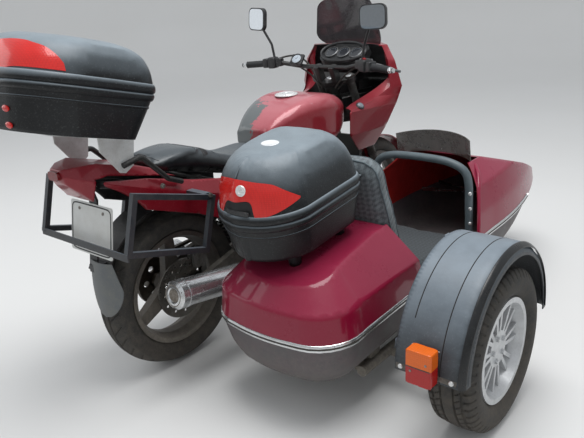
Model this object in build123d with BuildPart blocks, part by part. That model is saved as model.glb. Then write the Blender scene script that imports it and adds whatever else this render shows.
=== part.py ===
from build123d import *
from math import cos, radians, sin, tan
import os

# Sport touring motorcycle with a sidecar on its right, standing on its three wheels.

os.makedirs("parts", exist_ok=True)

# Lengths are in millimetres. X is to the right, Y forward, Z up.
# The layout starts on the ground below the rear axle, in the motorcycle's middle plane.
# ORIGIN_X and ORIGIN_Y are the box's bottom centre in that layout, and each piece is written from there.
ORIGIN_X = 415.03
ORIGIN_Y = 676.32

# Driving sizes of the motorcycle.
WHEELBASE = 1475.0
RAKE = 25.0
TRAIL = 105.0
REAR_RADIUS = 320.0
REAR_WIDTH = 140.0
FRONT_RADIUS = 317.0
FRONT_WIDTH = 112.0
BAR_HALF = 450.0
SEAT_HEIGHT = 795.0

# Driving sizes of the sidecar.
TRACK = 1200.0
LEAD = 318.0
CAR_RADIUS = 279.0
CAR_WIDTH = 165.0
HULL_X = 620.0
HULL_HALF = 280.0
HULL_WALL = 6.0

# Clearances: at a seat, at a turning pin, and between moving neighbours.
SEAT_GAP = 0.3
PIN_GAP = 0.1
MOVE_GAP = 6.0

# Wheels: bead seat, half width at the bead, hub and axle radii.
REAR_SEAT = 218.0
REAR_BEAD = 51.0
FRONT_SEAT = 231.0
FRONT_BEAD = 39.0
CAR_SEAT = 167.0
CAR_BEAD = 62.0
RIM_LIP = 12.0
RIM_WALL = 6.0
RIM_WELL = 16.0
HUB_RADIUS = 46.0
HUB_HALF = 52.0
AXLE_RADIUS = 10.0
SPOKES = 3
SPOKE_ROOT = 84.0
SPOKE_TIP = 44.0
SPOKE_THICK = 34.0

rear_axle = Vector(0, 0, REAR_RADIUS)
front_axle = Vector(0, WHEELBASE, FRONT_RADIUS)
car_axle = Vector(TRACK, LEAD, CAR_RADIUS)

# The steering axis leans back by the rake and meets the ground ahead of the tyre by the trail.
steer_dir = Vector(0, -sin(radians(RAKE)), cos(radians(RAKE)))
steer_foot = Vector(0, WHEELBASE + TRAIL, 0)


def on_steer(height):
    """The point of the steering axis at a height above the ground."""
    return Vector(0, steer_foot.Y - height * tan(radians(RAKE)), height)


def across(origin):
    """A plane whose local x runs along the axle and whose local y is up."""
    return Plane(origin=origin, x_dir=(1, 0, 0), z_dir=(0, -1, 0))


def side(origin):
    """A plane seen from the right: local x is forward, local y is up, its normal is +X."""
    return Plane(origin=origin, x_dir=(0, 1, 0), z_dir=(1, 0, 0))


def save(builder, name):
    """Moves a finished piece to the row's origin and writes it."""
    placed = builder.part.moved(Location((-ORIGIN_X, -ORIGIN_Y, 0)))
    placed.label = name
    export_step(placed, f"parts/{name}.step")


def tube(points, radius, bend):
    """A round tube along straight runs joined by arcs, added to the part in progress."""
    with BuildLine() as path:
        if len(points) > 2:
            FilletPolyline(*points, radius=bend)
        else:
            Line(*points)
    with BuildSketch(Plane(origin=path.line @ 0, z_dir=path.line % 0)) as ring:
        Circle(radius)
    sweep(ring.sketch, path=path.line)


def tyre_profile(radius, width, seat, bead, tread, drop):
    """Half circle section of a tyre: bead seat, sidewalls, shoulders and crown."""
    middle = seat + 0.5 * (radius - seat)
    bead_top = seat + RIM_LIP + 2
    with BuildLine() as section:
        Line((-bead, bead_top), (-bead, seat))
        Line((-bead, seat), (bead, seat))
        Line((bead, seat), (bead, bead_top))
        ThreePointArc((bead, bead_top), (width / 2, middle), (tread, radius - drop))
        ThreePointArc((tread, radius - drop), (0, radius), (-tread, radius - drop))
        ThreePointArc((-tread, radius - drop), (-width / 2, middle), (-bead, bead_top))
    make_face(section.line)


def rim_profile(seat, bead, lip, wall, well):
    """Section of a rim barrel: flanges, bead seats and the drop in the middle."""
    edge = bead + SEAT_GAP + wall
    Polygon(
        (-edge, seat + lip),
        (-bead - SEAT_GAP, seat + lip),
        (-bead - SEAT_GAP, seat - SEAT_GAP),
        (-bead * 0.55, seat - SEAT_GAP),
        (-bead * 0.4, seat - well),
        (bead * 0.4, seat - well),
        (bead * 0.55, seat - SEAT_GAP),
        (bead + SEAT_GAP, seat - SEAT_GAP),
        (bead + SEAT_GAP, seat + lip),
        (edge, seat + lip),
        (edge, seat - wall),
        (bead * 0.4, seat - well - wall),
        (-bead * 0.4, seat - well - wall),
        (-edge, seat - wall),
        align=None,
    )




def cast_wheel(axle, seat, bead):
    """A three-spoke cast wheel with its hub and axle bore."""
    reach = seat - RIM_WELL - RIM_WALL / 2
    with BuildPart() as wheel:
        with BuildSketch(across(axle)):
            rim_profile(seat, bead, RIM_LIP, RIM_WALL, RIM_WELL)
        revolve(axis=Axis(axle, (1, 0, 0)))
        with BuildSketch(side(axle)):
            with PolarLocations(0, SPOKES, start_angle=90):
                Polygon(
                    (0, -SPOKE_ROOT / 2),
                    (reach, -SPOKE_TIP / 2),
                    (reach, SPOKE_TIP / 2),
                    (0, SPOKE_ROOT / 2),
                    align=None,
                )
        extrude(amount=SPOKE_THICK / 2, both=True)
        with BuildSketch(side(axle)):
            Circle(HUB_RADIUS)
        extrude(amount=HUB_HALF, both=True)
        with BuildSketch(side(axle)):
            Circle(AXLE_RADIUS + PIN_GAP)
        extrude(amount=HUB_HALF, both=True, mode=Mode.SUBTRACT)
    return wheel


rear_wheel = cast_wheel(rear_axle, REAR_SEAT, REAR_BEAD)
save(rear_wheel, "rear_wheel")
front_wheel = cast_wheel(front_axle, FRONT_SEAT, FRONT_BEAD)
save(front_wheel, "front_wheel")

with BuildPart() as rear_tyre:
    with BuildSketch(across(rear_axle)):
        tyre_profile(REAR_RADIUS, REAR_WIDTH, REAR_SEAT, REAR_BEAD, 68, 26)
    revolve(axis=Axis(rear_axle, (1, 0, 0)))
save(rear_tyre, "rear_tyre")

with BuildPart() as front_tyre:
    with BuildSketch(across(front_axle)):
        tyre_profile(FRONT_RADIUS, FRONT_WIDTH, FRONT_SEAT, FRONT_BEAD, 50, 24)
    revolve(axis=Axis(front_axle, (1, 0, 0)))
save(front_tyre, "front_tyre")

with BuildPart() as sidecar_tyre:
    with BuildSketch(across(car_axle)):
        tyre_profile(CAR_RADIUS, CAR_WIDTH, CAR_SEAT, CAR_BEAD, 64, 6)
    revolve(axis=Axis(car_axle, (1, 0, 0)))
save(sidecar_tyre, "sidecar_tyre")

# Alloy car wheel: pairs of bars that meet at the hub, a bolt circle and a stub axle bore.
CAR_PAIRS = 8
CAR_HUB = 62.0
CAR_BAR = 13.0
CAR_BAR_SPREAD = 8.5
CAR_FACE = 20.0
CAR_FACE_AT = 44.0
CAR_STUB = 17.0
with BuildPart() as sidecar_wheel:
    with BuildSketch(across(car_axle)):
        rim_profile(CAR_SEAT, CAR_BEAD, RIM_LIP, RIM_WALL, RIM_WELL)
    revolve(axis=Axis(car_axle, (1, 0, 0)))
    bar_reach = CAR_SEAT - RIM_WALL - 4
    with BuildSketch(side(car_axle + Vector(CAR_FACE_AT - CAR_FACE, 0, 0))):
        Circle(CAR_HUB)
        for tilt in (-CAR_BAR_SPREAD, CAR_BAR_SPREAD):
            with PolarLocations(0, CAR_PAIRS, start_angle=tilt):
                with Locations((bar_reach / 2, 0)):
                    Rectangle(bar_reach, CAR_BAR)
    extrude(amount=CAR_FACE)
    with BuildSketch(side(car_axle + Vector(-40, 0, 0))):
        Circle(CAR_STUB + 12)
    extrude(amount=CAR_FACE_AT + 40)
    with BuildSketch(side(car_axle + Vector(-40, 0, 0))):
        Circle(CAR_STUB + PIN_GAP)
    extrude(amount=60, mode=Mode.SUBTRACT)
save(sidecar_wheel, "sidecar_wheel")

# Brake discs and the driven sprocket.
DISC_THICK = 5.0
REAR_DISC = 122.0
REAR_DISC_X = 70.0
FRONT_DISC = 149.0
FRONT_DISC_X = 64.0
SPROCKET = 92.0
SPROCKET_X = 84.0
SPROCKET_THICK = 7.0
CHAIN_WIDTH = 16.0
DISC_HOLES = 12


def disc(axle, x, radius, inner):
    """A drilled brake disc, as a ring with a carrier."""
    with BuildSketch(side(axle + Vector(x - DISC_THICK / 2, 0, 0))) as ring:
        Circle(radius)
        Circle(inner, mode=Mode.SUBTRACT)
        with PolarLocations(radius * 0.8, DISC_HOLES):
            Circle(6, mode=Mode.SUBTRACT)
    extrude(ring.sketch, amount=DISC_THICK)


with BuildPart() as rear_disc:
    disc(rear_axle, REAR_DISC_X, REAR_DISC, AXLE_RADIUS + 8)
    with BuildSketch(side(rear_axle + Vector(HUB_HALF + SEAT_GAP, 0, 0))):
        Circle(HUB_RADIUS - 6)
        Circle(AXLE_RADIUS + 8, mode=Mode.SUBTRACT)
    extrude(amount=REAR_DISC_X - HUB_HALF - SEAT_GAP)
save(rear_disc, "rear_brake_disc")

with BuildPart() as sprocket:
    with BuildSketch(side(rear_axle + Vector(-SPROCKET_X - SPROCKET_THICK / 2, 0, 0))):
        Circle(SPROCKET)
        Circle(AXLE_RADIUS + 8, mode=Mode.SUBTRACT)
        with PolarLocations(SPROCKET * 0.68, 6):
            Circle(13, mode=Mode.SUBTRACT)
    extrude(amount=SPROCKET_THICK)
    with BuildSketch(side(rear_axle + Vector(-HUB_HALF - SEAT_GAP, 0, 0))):
        Circle(HUB_RADIUS - 6)
        Circle(AXLE_RADIUS + 8, mode=Mode.SUBTRACT)
    extrude(amount=-(SPROCKET_X - HUB_HALF - SEAT_GAP))
save(sprocket, "rear_sprocket")

with BuildPart() as front_discs:
    disc(front_axle, FRONT_DISC_X, FRONT_DISC, AXLE_RADIUS + 8)
    with BuildSketch(side(front_axle + Vector(HUB_HALF + SEAT_GAP, 0, 0))):
        Circle(HUB_RADIUS - 6)
        Circle(AXLE_RADIUS + 8, mode=Mode.SUBTRACT)
    extrude(amount=FRONT_DISC_X - HUB_HALF - SEAT_GAP)
    mirror(about=Plane.YZ)
save(front_discs, "front_brake_discs")

# Swinging arm: two box arms, a cross tube, the pivot tube and the rear axle.
PIVOT = Vector(0, 500, 395)
ARM_X = 110.0
ARM_THICK = 26.0
with BuildPart() as swingarm:
    with BuildSketch(side((ARM_X - ARM_THICK / 2, 0, 0))):
        Polygon(
            (-45, REAR_RADIUS - 24),
            (-45, REAR_RADIUS + 24),
            (60, REAR_RADIUS + 34),
            (380, PIVOT.Z + 40),
            (PIVOT.Y + 25, PIVOT.Z + 28),
            (PIVOT.Y + 25, PIVOT.Z - 28),
            (380, PIVOT.Z - 45),
            (60, REAR_RADIUS - 28),
            align=None,
        )
    extrude(amount=ARM_THICK)
    mirror(about=Plane.YZ)
    with BuildSketch(side((0, PIVOT.Y - 90, PIVOT.Z))):
        RectangleRounded(60, 56, 10)
    extrude(amount=ARM_X, both=True)
    with BuildSketch(side(rear_axle)):
        Circle(AXLE_RADIUS)
    extrude(amount=ARM_X + ARM_THICK / 2 + 8, both=True)
    with BuildSketch(side(PIVOT)):
        Circle(16)
    extrude(amount=ARM_X, both=True)
save(swingarm, "swingarm")

# Rear brake caliper above the right arm, gripping the disc from both sides.
with BuildPart() as rear_caliper:
    with BuildSketch(side((REAR_DISC_X - 22, 88, REAR_RADIUS + 95))):
        RectangleRounded(62, 60, 12)
    extrude(amount=18)
    with BuildSketch(side((REAR_DISC_X + 5, 88, REAR_RADIUS + 95))):
        RectangleRounded(62, 60, 12)
    extrude(amount=14)
    with BuildSketch(side((REAR_DISC_X - 22, 112, REAR_RADIUS + 118))):
        RectangleRounded(24, 40, 6)
    extrude(amount=41)
    with BuildSketch(side((REAR_DISC_X + 8, 108, REAR_RADIUS + 60))):
        Rectangle(22, 50)
    extrude(amount=11)
save(rear_caliper, "rear_brake_caliper")

# Drive chain: one fixed loop round the sprocket and the engine's output.
DRIVE = Vector(-SPROCKET_X, 575, 400)
DRIVE_RADIUS = 36.0
CHAIN_DEEP = 12.0
with BuildPart() as chain:
    with BuildSketch(side((-SPROCKET_X - CHAIN_WIDTH / 2, 0, 0))):
        for grow, mode in ((CHAIN_DEEP, Mode.ADD), (0, Mode.SUBTRACT)):
            big = SPROCKET + 1.5 + grow
            small = DRIVE_RADIUS + grow
            with Locations((rear_axle.Y, rear_axle.Z)):
                Circle(big, mode=mode)
            with Locations((DRIVE.Y, DRIVE.Z)):
                Circle(small, mode=mode)
            slope = (DRIVE.Z - rear_axle.Z) / DRIVE.Y
            Polygon(
                (-slope * big, rear_axle.Z + big),
                (DRIVE.Y - slope * small, DRIVE.Z + small),
                (DRIVE.Y + slope * small, DRIVE.Z - small),
                (slope * big, rear_axle.Z - big),
                align=None,
                mode=mode,
            )
    extrude(amount=CHAIN_WIDTH)
save(chain, "drive_chain")

# Frame: twin spars from the steering head to the pivot plates, then the rails under the seat.
HEAD_LOW = 815.0
HEAD_HIGH = 970.0
HEAD_RADIUS = 34.0
STEM_RADIUS = 17.0
SPAR_THICK = 30.0
SPAR_OUT = 158.0
SPAR_HEAD = 108.0
LIGHT_Z = 898.0
LIGHT_BACK = 1500.0
FAIRING_STAY = 12.0
with BuildPart() as bike_frame:
    with BuildSketch(Plane.XY.offset(300)):
        Polygon((20, 1150), (SPAR_HEAD, 985), (SPAR_OUT, 640), (SPAR_OUT, 455), (SPAR_OUT - SPAR_THICK, 455),
                (SPAR_OUT - SPAR_THICK, 635), (SPAR_HEAD - SPAR_THICK, 970), (20, 1100), align=None)
    extrude(amount=700)
    with BuildSketch(side((0, 0, 0))):
        Polygon((1160, 860), (1150, 918), (1085, 930), (640, 700), (545, 640), (455, 470),
                (455, 340), (545, 340), (575, 500), (700, 600), (1000, 745), (1075, 800), align=None)
    extrude(amount=SPAR_OUT + 10, both=True, mode=Mode.INTERSECT)
    mirror(about=Plane.YZ)
    with BuildSketch(Plane(origin=on_steer(HEAD_LOW), z_dir=steer_dir)):
        Circle(HEAD_RADIUS)
    extrude(amount=(HEAD_HIGH - HEAD_LOW) / steer_dir.Z)
    with BuildSketch(Plane(origin=on_steer(HEAD_LOW), z_dir=steer_dir)):
        Circle(STEM_RADIUS + PIN_GAP)
    extrude(amount=(HEAD_HIGH - HEAD_LOW) / steer_dir.Z, mode=Mode.SUBTRACT)
    with BuildSketch(side((0, 510, 600))):
        RectangleRounded(50, 50, 8)
    extrude(amount=SPAR_OUT - 5, both=True)
    stay_root = on_steer(LIGHT_Z) + Vector(0, (STEM_RADIUS + HEAD_RADIUS) / 2, 0)
    tube([tuple(stay_root), (0, LIGHT_BACK - SEAT_GAP, LIGHT_Z)], FAIRING_STAY, 10)
save(bike_frame, "bike_frame")

RAIL_X = 104.0
RAIL_RADIUS = 12.0
with BuildPart() as subframe:
    tube([(RAIL_X, 438, 622), (RAIL_X, 180, 722), (RAIL_X, -330, 835)], RAIL_RADIUS, 200)
    tube([(RAIL_X, 438, 520), (RAIL_X, -120, 788)], RAIL_RADIUS - 2, 10)
    mirror(about=Plane.YZ)
    with BuildSketch(side((0, -320, 833))):
        Circle(10)
    extrude(amount=RAIL_X, both=True)
    with BuildSketch(side((0, 120, 752))):
        Circle(10)
    extrude(amount=RAIL_X, both=True)
    with BuildSketch(side((0, 439, 560))):
        Rectangle(30, 150)
    extrude(amount=SPAR_OUT - SPAR_THICK - 1, both=True)
save(subframe, "seat_subframe")

# Engine: sump, crankcase, forward-leaning finned cylinders, head and round side covers.
BLOCK_LEAN = 28.0
FIN_COUNT = 7
FIN_PITCH = 17.0
FIN_THICK = 4.0
FIN_REACH = 13.0
CYL_HALF = 96.0
CYL_LONG = 74.0
COVERS = (  # side, y, z, radius, reach from the middle plane
    (1, 720, 392, 96, 182),
    (1, 892, 372, 58, 176),
    (-1, 905, 384, 84, 178),
    (-1, 700, 300, 40, 165),
)
cylinder_foot = Plane(origin=(0, 872, 500), x_dir=(1, 0, 0),
                      z_dir=(0, sin(radians(BLOCK_LEAN)), cos(radians(BLOCK_LEAN))))
with BuildPart() as engine:
    with BuildSketch(side((0, 0, 0))):
        Polygon((590, 330), (600, 455), (680, 520), (980, 520), (1010, 400), (990, 280),
                (900, 255), (650, 255), align=None)
    extrude(amount=150, both=True)
    fillet(engine.edges().filter_by(Axis.X), 14)
    with BuildSketch(cylinder_foot):
        RectangleRounded(2 * CYL_HALF, 2 * CYL_LONG, 20)
    extrude(amount=FIN_COUNT * FIN_PITCH + 6)
    for step in range(FIN_COUNT):
        with BuildSketch(cylinder_foot.offset(10 + step * FIN_PITCH)):
            RectangleRounded(2 * (CYL_HALF + FIN_REACH), 2 * (CYL_LONG + FIN_REACH), 24)
        extrude(amount=FIN_THICK)
    with BuildSketch(cylinder_foot.offset(FIN_COUNT * FIN_PITCH + 2)):
        RectangleRounded(2 * CYL_HALF + 22, 2 * CYL_LONG - 6, 26)
    extrude(amount=40)
    for face, y, z, radius, reach in COVERS:
        with BuildSketch(side((0, y, z))):
            Circle(radius)
        extrude(amount=face * reach)
        with BuildSketch(side((face * reach, y, z))):
            Circle(radius - 16)
        extrude(amount=face * 5)
    with BuildSketch(side((-SPROCKET_X - CHAIN_WIDTH / 2 - MOVE_GAP, 600, DRIVE.Z))):
        Rectangle(90, 130)
    extrude(amount=CHAIN_WIDTH + 2 * MOVE_GAP, mode=Mode.SUBTRACT)
save(engine, "engine")

with BuildPart() as radiator:
    with BuildSketch(Plane(origin=(0, 1122, 618), x_dir=(1, 0, 0), z_dir=(0, 1, -0.08))):
        RectangleRounded(330, 216, 12)
    extrude(amount=26)
save(radiator, "radiator")

# Exhaust: two header pipes under the engine and a round silencer on each side.
MUFFLER_X = 222.0
MUFFLER_RADIUS = 54.0
MUFFLER_TAIL = Vector(MUFFLER_X, -172, 394)
MUFFLER_NOSE = Vector(MUFFLER_X, 290, 325)
PIPE_RADIUS = 20.0
muffler_run = MUFFLER_NOSE - MUFFLER_TAIL
muffler_plane = Plane(origin=MUFFLER_TAIL, x_dir=(1, 0, 0), z_dir=muffler_run)
with BuildPart() as mufflers:
    with BuildSketch(Plane(origin=MUFFLER_TAIL, x_dir=muffler_run, z_dir=(1, 0, 0))):
        length = muffler_run.length
        Polygon((10, 18), (0, 30), (0, 42), (10, MUFFLER_RADIUS), (34, MUFFLER_RADIUS + 2),
                (46, MUFFLER_RADIUS - 1), (length - 60, MUFFLER_RADIUS - 1), (length, 26), (length, 0),
                (60, 0), (60, 18), align=None)
    revolve(axis=Axis(MUFFLER_TAIL, muffler_run))
    mirror(about=Plane.YZ)
save(mufflers, "mufflers")

with BuildPart() as exhaust_pipes:
    tube([(70, 1056, 600), (78, 1082, 520), (88, 1075, 330), (100, 960, 222), (112, 640, 222),
          MUFFLER_NOSE + muffler_run.normalized() * 90, MUFFLER_NOSE + muffler_run.normalized()], PIPE_RADIUS, 34)
    mirror(about=Plane.YZ)
save(exhaust_pipes, "exhaust_pipes")

# Cast plates below the seat that carry the passenger's footrests and the silencers.
with BuildPart() as footrest_hangers:
    with BuildSketch(side((SPAR_OUT + SEAT_GAP, 0, 0))):
        Polygon((470, 600), (540, 600), (500, 470), (330, 400), (215, 420), (190, 460), (250, 480),
                (380, 520), align=None)
    extrude(amount=10)
    with BuildSketch(side((SPAR_OUT + 5, 225, 445))):
        Circle(13)
    extrude(amount=95)
    with BuildSketch(side((SPAR_OUT + 5, 430, 420))):
        Circle(12)
    extrude(amount=90)
    mirror(about=Plane.YZ)
save(footrest_hangers, "footrest_hangers")

# Fuel tank: rounded sections from the seat to the steering head.
TANK_TOP = 966.0
CAP_Y = 790.0
CAP_RADIUS = 38.0
TANK_TABLE = (  # y, half width, bottom, top, corner radius
    (540, 95, 770, TANK_TOP - 112, 30),
    (635, 138, 735, TANK_TOP - 44, 50),
    (790, 180, 728, TANK_TOP, 66),
    (930, 184, 735, TANK_TOP - 4, 66),
    (1008, 162, 790, TANK_TOP - 34, 52),
)
with BuildPart() as fuel_tank:
    for y, half, low, high, corner in TANK_TABLE:
        with BuildSketch(across((0, y, (low + high) / 2))):
            RectangleRounded(2 * half, high - low, min(corner, (high - low) / 2 - 1))
    loft()
    with BuildPart(mode=Mode.SUBTRACT):
        with BuildSketch(Plane.XY.offset(500)):
            Polygon((0, 1200), (SPAR_HEAD + 8, 1100), (SPAR_HEAD + 8, 990), (SPAR_OUT + 8, 645),
                    (SPAR_OUT + 8, 400), (0, 400), align=None)
            mirror(about=Plane.YZ)
        extrude(amount=600)
        with BuildSketch(side((0, 0, 0))):
            Polygon((1160, 600), (1160, 952), (1085, 958), (636, 708), (400, 580), (400, 400), align=None)
        extrude(amount=300, both=True, mode=Mode.INTERSECT)
    with BuildSketch(Plane((0, CAP_Y, TANK_TOP - 6))):
        Circle(CAP_RADIUS)
    extrude(amount=12)
save(fuel_tank, "fuel_tank")

# Seat: passenger and rider in one cushion.
SEAT_TABLE = (  # y, half width, bottom, top, corner radius
    (-95, 92, 836, 862, 12),
    (20, 122, 800, 874, 34),
    (190, 130, 756, 838, 36),
    (330, 136, 722, 790, 30),
    (450, 120, 716, 792, 30),
    (532, 80, 740, 812, 26),
)
with BuildPart() as seat:
    for y, half, low, high, corner in SEAT_TABLE:
        with BuildSketch(across((0, y, (low + high) / 2))):
            RectangleRounded(2 * half, high - low, corner)
    loft()
save(seat, "seat")

# Tail: side panels with one long crease, hollow underneath for the rails.
TAIL_TABLE = (  # y, top, crease, bottom heights, then half widths at top, crease and bottom
    (-420, 896, 876, 856, 30, 44, 30),
    (-380, 903, 862, 812, 66, 92, 66),
    (-320, 905, 840, 752, 92, 128, 92),
    (-150, 858, 782, 700, 104, 142, 128),
    (60, 786, 712, 628, 112, 148, 140),
    (250, 742, 660, 540, 116, 150, 146),
    (400, 722, 640, 560, 110, 150, 146),
)
TAIL_SKIN = 8.0
with BuildPart() as tail_fairing:
    for y, top, crease, bottom, top_half, crease_half, bottom_half in TAIL_TABLE:
        with BuildSketch(across((0, y, 0))):
            Polygon((-top_half, top), (top_half, top), (crease_half, crease), (bottom_half, bottom),
                    (-bottom_half, bottom), (-crease_half, crease), align=None)
    loft(ruled=True)
    with BuildSketch(side((0, 0, 0))):
        Polygon((-345, 700), (-345, 858), (-300, 862), (430, 690), (430, 500), (-100, 500), align=None)
    extrude(amount=124, both=True, mode=Mode.SUBTRACT)
    with BuildSketch(side((0, 0, 0))):
        Polygon((-105, 834), (-105, 900), (430, 820), (430, 676), (200, 738), (20, 780), align=None)
    extrude(amount=200, both=True, mode=Mode.SUBTRACT)
save(tail_fairing, "tail_fairing")

with BuildPart() as tail_light:
    with BuildSketch(across((0, -420 - SEAT_GAP, 876))):
        RectangleRounded(58, 30, 10)
    extrude(amount=12)
save(tail_light, "tail_light")

# Rear mudguard, number plate and the long flap that hangs behind the tyre.
GUARD_RADIUS = 362.0
GUARD_START = 72.0
GUARD_TURN = 80.0
GUARD_HALF = 58.0
FLAP_Y = -346.0
PLATE_Y = -322.0
PLATE_Z = 658.0
PLATE_LEAN = 0.16
FLAP_FOOT = 336.0
FLAP_SHIFT = 38.0
TONGUE_X = 12.0
FLAP_TOP = 548.0


def plate_line(height):
    """Where the face behind the number plate stands at a height."""
    return PLATE_Y + SEAT_GAP + PLATE_LEAN * (height - PLATE_Z)


with BuildPart() as rear_mudguard:
    with BuildSketch(side(rear_axle)) as guard:
        with BuildLine():
            CenterArc((0, 0), GUARD_RADIUS, GUARD_START, GUARD_TURN)
            CenterArc((0, 0), GUARD_RADIUS + 4, GUARD_START, GUARD_TURN)
            for turn in (GUARD_START, GUARD_START + GUARD_TURN):
                Line((GUARD_RADIUS * cos(radians(turn)), GUARD_RADIUS * sin(radians(turn))),
                     ((GUARD_RADIUS + 4) * cos(radians(turn)), (GUARD_RADIUS + 4) * sin(radians(turn))))
        make_face()
    extrude(amount=GUARD_HALF, both=True)
    with BuildSketch(side((TONGUE_X, 0, 0))):
        Polygon((plate_line(525), 525), (plate_line(760), 760), (-326, 822.7), (-314, 822.7),
                (plate_line(762) + 8, 762), (plate_line(525) + 8, 525), align=None)
        Polygon((FLAP_Y + SEAT_GAP, 500), (FLAP_Y + SEAT_GAP, 528), (-295, 530), (-310, 500), align=None)
    extrude(amount=22, both=True)
save(rear_mudguard, "rear_mudguard")

with BuildPart() as number_plate:
    with BuildSketch(Plane(origin=(6, PLATE_Y, PLATE_Z), x_dir=(1, 0, 0), z_dir=(0, -1, PLATE_LEAN))):
        RectangleRounded(245, 185, 8)
    extrude(amount=3)
save(number_plate, "number_plate")

with BuildPart() as rear_mudflap:
    with BuildSketch(Plane.XY.offset(FLAP_FOOT)):
        with Locations((FLAP_SHIFT, 0)):
            Polygon((-64, FLAP_Y + 14), (-52, FLAP_Y), (70, FLAP_Y), (94, FLAP_Y + 34), (98, FLAP_Y + 32),
                    (72, FLAP_Y - 4), (-54, FLAP_Y - 4), (-68, FLAP_Y + 13), align=None)
    extrude(amount=FLAP_TOP - FLAP_FOOT)
    with BuildSketch(across((FLAP_SHIFT + 15, 0, FLAP_FOOT))):
        Rectangle(300, 100)
        Ellipse(86, 46, mode=Mode.SUBTRACT)
        with Locations((0, 50)):
            Rectangle(300, 100, mode=Mode.SUBTRACT)
    extrude(amount=600, both=True, mode=Mode.SUBTRACT)
save(rear_mudflap, "rear_mudflap")

# Welded square-tube loops for side bags, joined by flat bars across the tail.
LOOP_X = 240.0
LOOP_STAY = 147.4
LOOP_TUBE = 20.0
LOOP_TILT = 15.5
LOOP_LONG = 372.0
LOOP_TALL = 216.0
LOOP_CENTRE = Vector(0, -160, 670)
loop_x = Vector(0, cos(radians(LOOP_TILT)), -sin(radians(LOOP_TILT)))
with BuildPart() as pannier_frame:
    with BuildSketch(Plane(origin=LOOP_CENTRE + Vector(LOOP_X, 0, 0), x_dir=loop_x, z_dir=(1, 0, 0))):
        Rectangle(LOOP_LONG, LOOP_TALL)
        Rectangle(LOOP_LONG - 2 * LOOP_TUBE, LOOP_TALL - 2 * LOOP_TUBE, mode=Mode.SUBTRACT)
    extrude(amount=LOOP_TUBE)
    mirror(about=Plane.YZ)
    with BuildSketch(across((0, -361, 614))):
        Rectangle(2 * LOOP_X + 2 * LOOP_TUBE, 26)
    extrude(amount=5)
    for reach in (-1, 1):
        with BuildSketch(side((reach * LOOP_STAY, 20, 731))):
            Rectangle(30, 10)
        extrude(amount=reach * (LOOP_X - LOOP_STAY + 5))
save(pannier_frame, "pannier_frame")

# Top case: base and lid, hollow, hinged along the front edge, tilted with the rack.
CASE_WALL = 4.0


def case_plane(origin, tilt):
    """The split plane of a case: local y forward, local z up, leaning by the tilt."""
    return Plane(origin=origin, x_dir=(1, 0, 0), z_dir=(0, sin(radians(tilt)), cos(radians(tilt))))


def case_outline(width, length, inset):
    """Plan of a case, narrower towards its rear corners, centred on the front edge."""
    half = width / 2 - inset
    front = -inset
    back = -length + inset
    with BuildLine() as outline:
        Line((-half + 60, front), (half - 60, front))
        ThreePointArc((half - 60, front), (half - 17, front - 18), (half, front - 60))
        Line((half, front - 60), (half - 4, back + 150))
        ThreePointArc((half - 4, back + 150), (half - 70, back + 40), (half - 150, back + 6))
        ThreePointArc((half - 150, back + 6), (0, back), (-half + 150, back + 6))
        ThreePointArc((-half + 150, back + 6), (-half + 70, back + 40), (-half + 4, back + 150))
        Line((-half + 4, back + 150), (-half, front - 60))
        ThreePointArc((-half, front - 60), (-half + 17, front - 18), (-half + 60, front))
    make_face(outline.line)


def case_half(plane, width, length, levels, up):
    """One half of a case: a crowned shell, open at the split, from (height, draft) levels."""
    sign = 1 if up else -1
    with BuildPart() as half:
        for wall, mode in ((0, Mode.ADD), (CASE_WALL, Mode.SUBTRACT)):
            rings = []
            for height, draft in levels:
                shown = height - wall if height == levels[-1][0] else height
                with BuildSketch(plane.offset(sign * shown)) as ring:
                    case_outline(width, length, draft + wall)
                rings.append(ring.sketch)
            loft(rings, ruled=True, mode=mode)
    return half


HINGE_OUT = 8.0
HINGE_PIN = 2.5
HINGE_ROUND = 6.5
HINGE_AT = (-120.0, 120.0)
KNUCKLE = 26.0


def knuckles(plane, up):
    """Hinge barrels in front of a case: the lid's in the middle, the base's pair around it on the pin."""
    sign = 1 if up else -1
    spans = ((-KNUCKLE / 2, KNUCKLE / 2),) if up else ((-KNUCKLE * 1.5, -KNUCKLE / 2 - 0.5), (KNUCKLE / 2 + 0.5, KNUCKLE * 1.5))
    for middle in HINGE_AT:
        for start, end in spans:
            axis_plane = Plane(origin=plane.from_local_coords((middle + start, 0, 0)),
                               x_dir=plane.y_dir, z_dir=plane.x_dir)
            with BuildSketch(axis_plane) as leaf:
                with Locations((HINGE_OUT, 0)):
                    Circle(HINGE_ROUND)
                Polygon((-1.5, sign * 0.6), (HINGE_OUT, sign * 0.6), (HINGE_OUT, sign * HINGE_ROUND),
                        (-1.5, sign * (HINGE_ROUND + 3)), align=None)
            extrude(leaf.sketch, amount=end - start)
        with BuildSketch(Plane(origin=plane.from_local_coords((middle - KNUCKLE * 1.5, 0, 0)),
                               x_dir=plane.y_dir, z_dir=plane.x_dir)) as pin:
            with Locations((HINGE_OUT, 0)):
                Circle(HINGE_PIN + PIN_GAP if up else HINGE_PIN)
        extrude(pin.sketch, amount=KNUCKLE * 3, mode=Mode.SUBTRACT if up else Mode.ADD)


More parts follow.
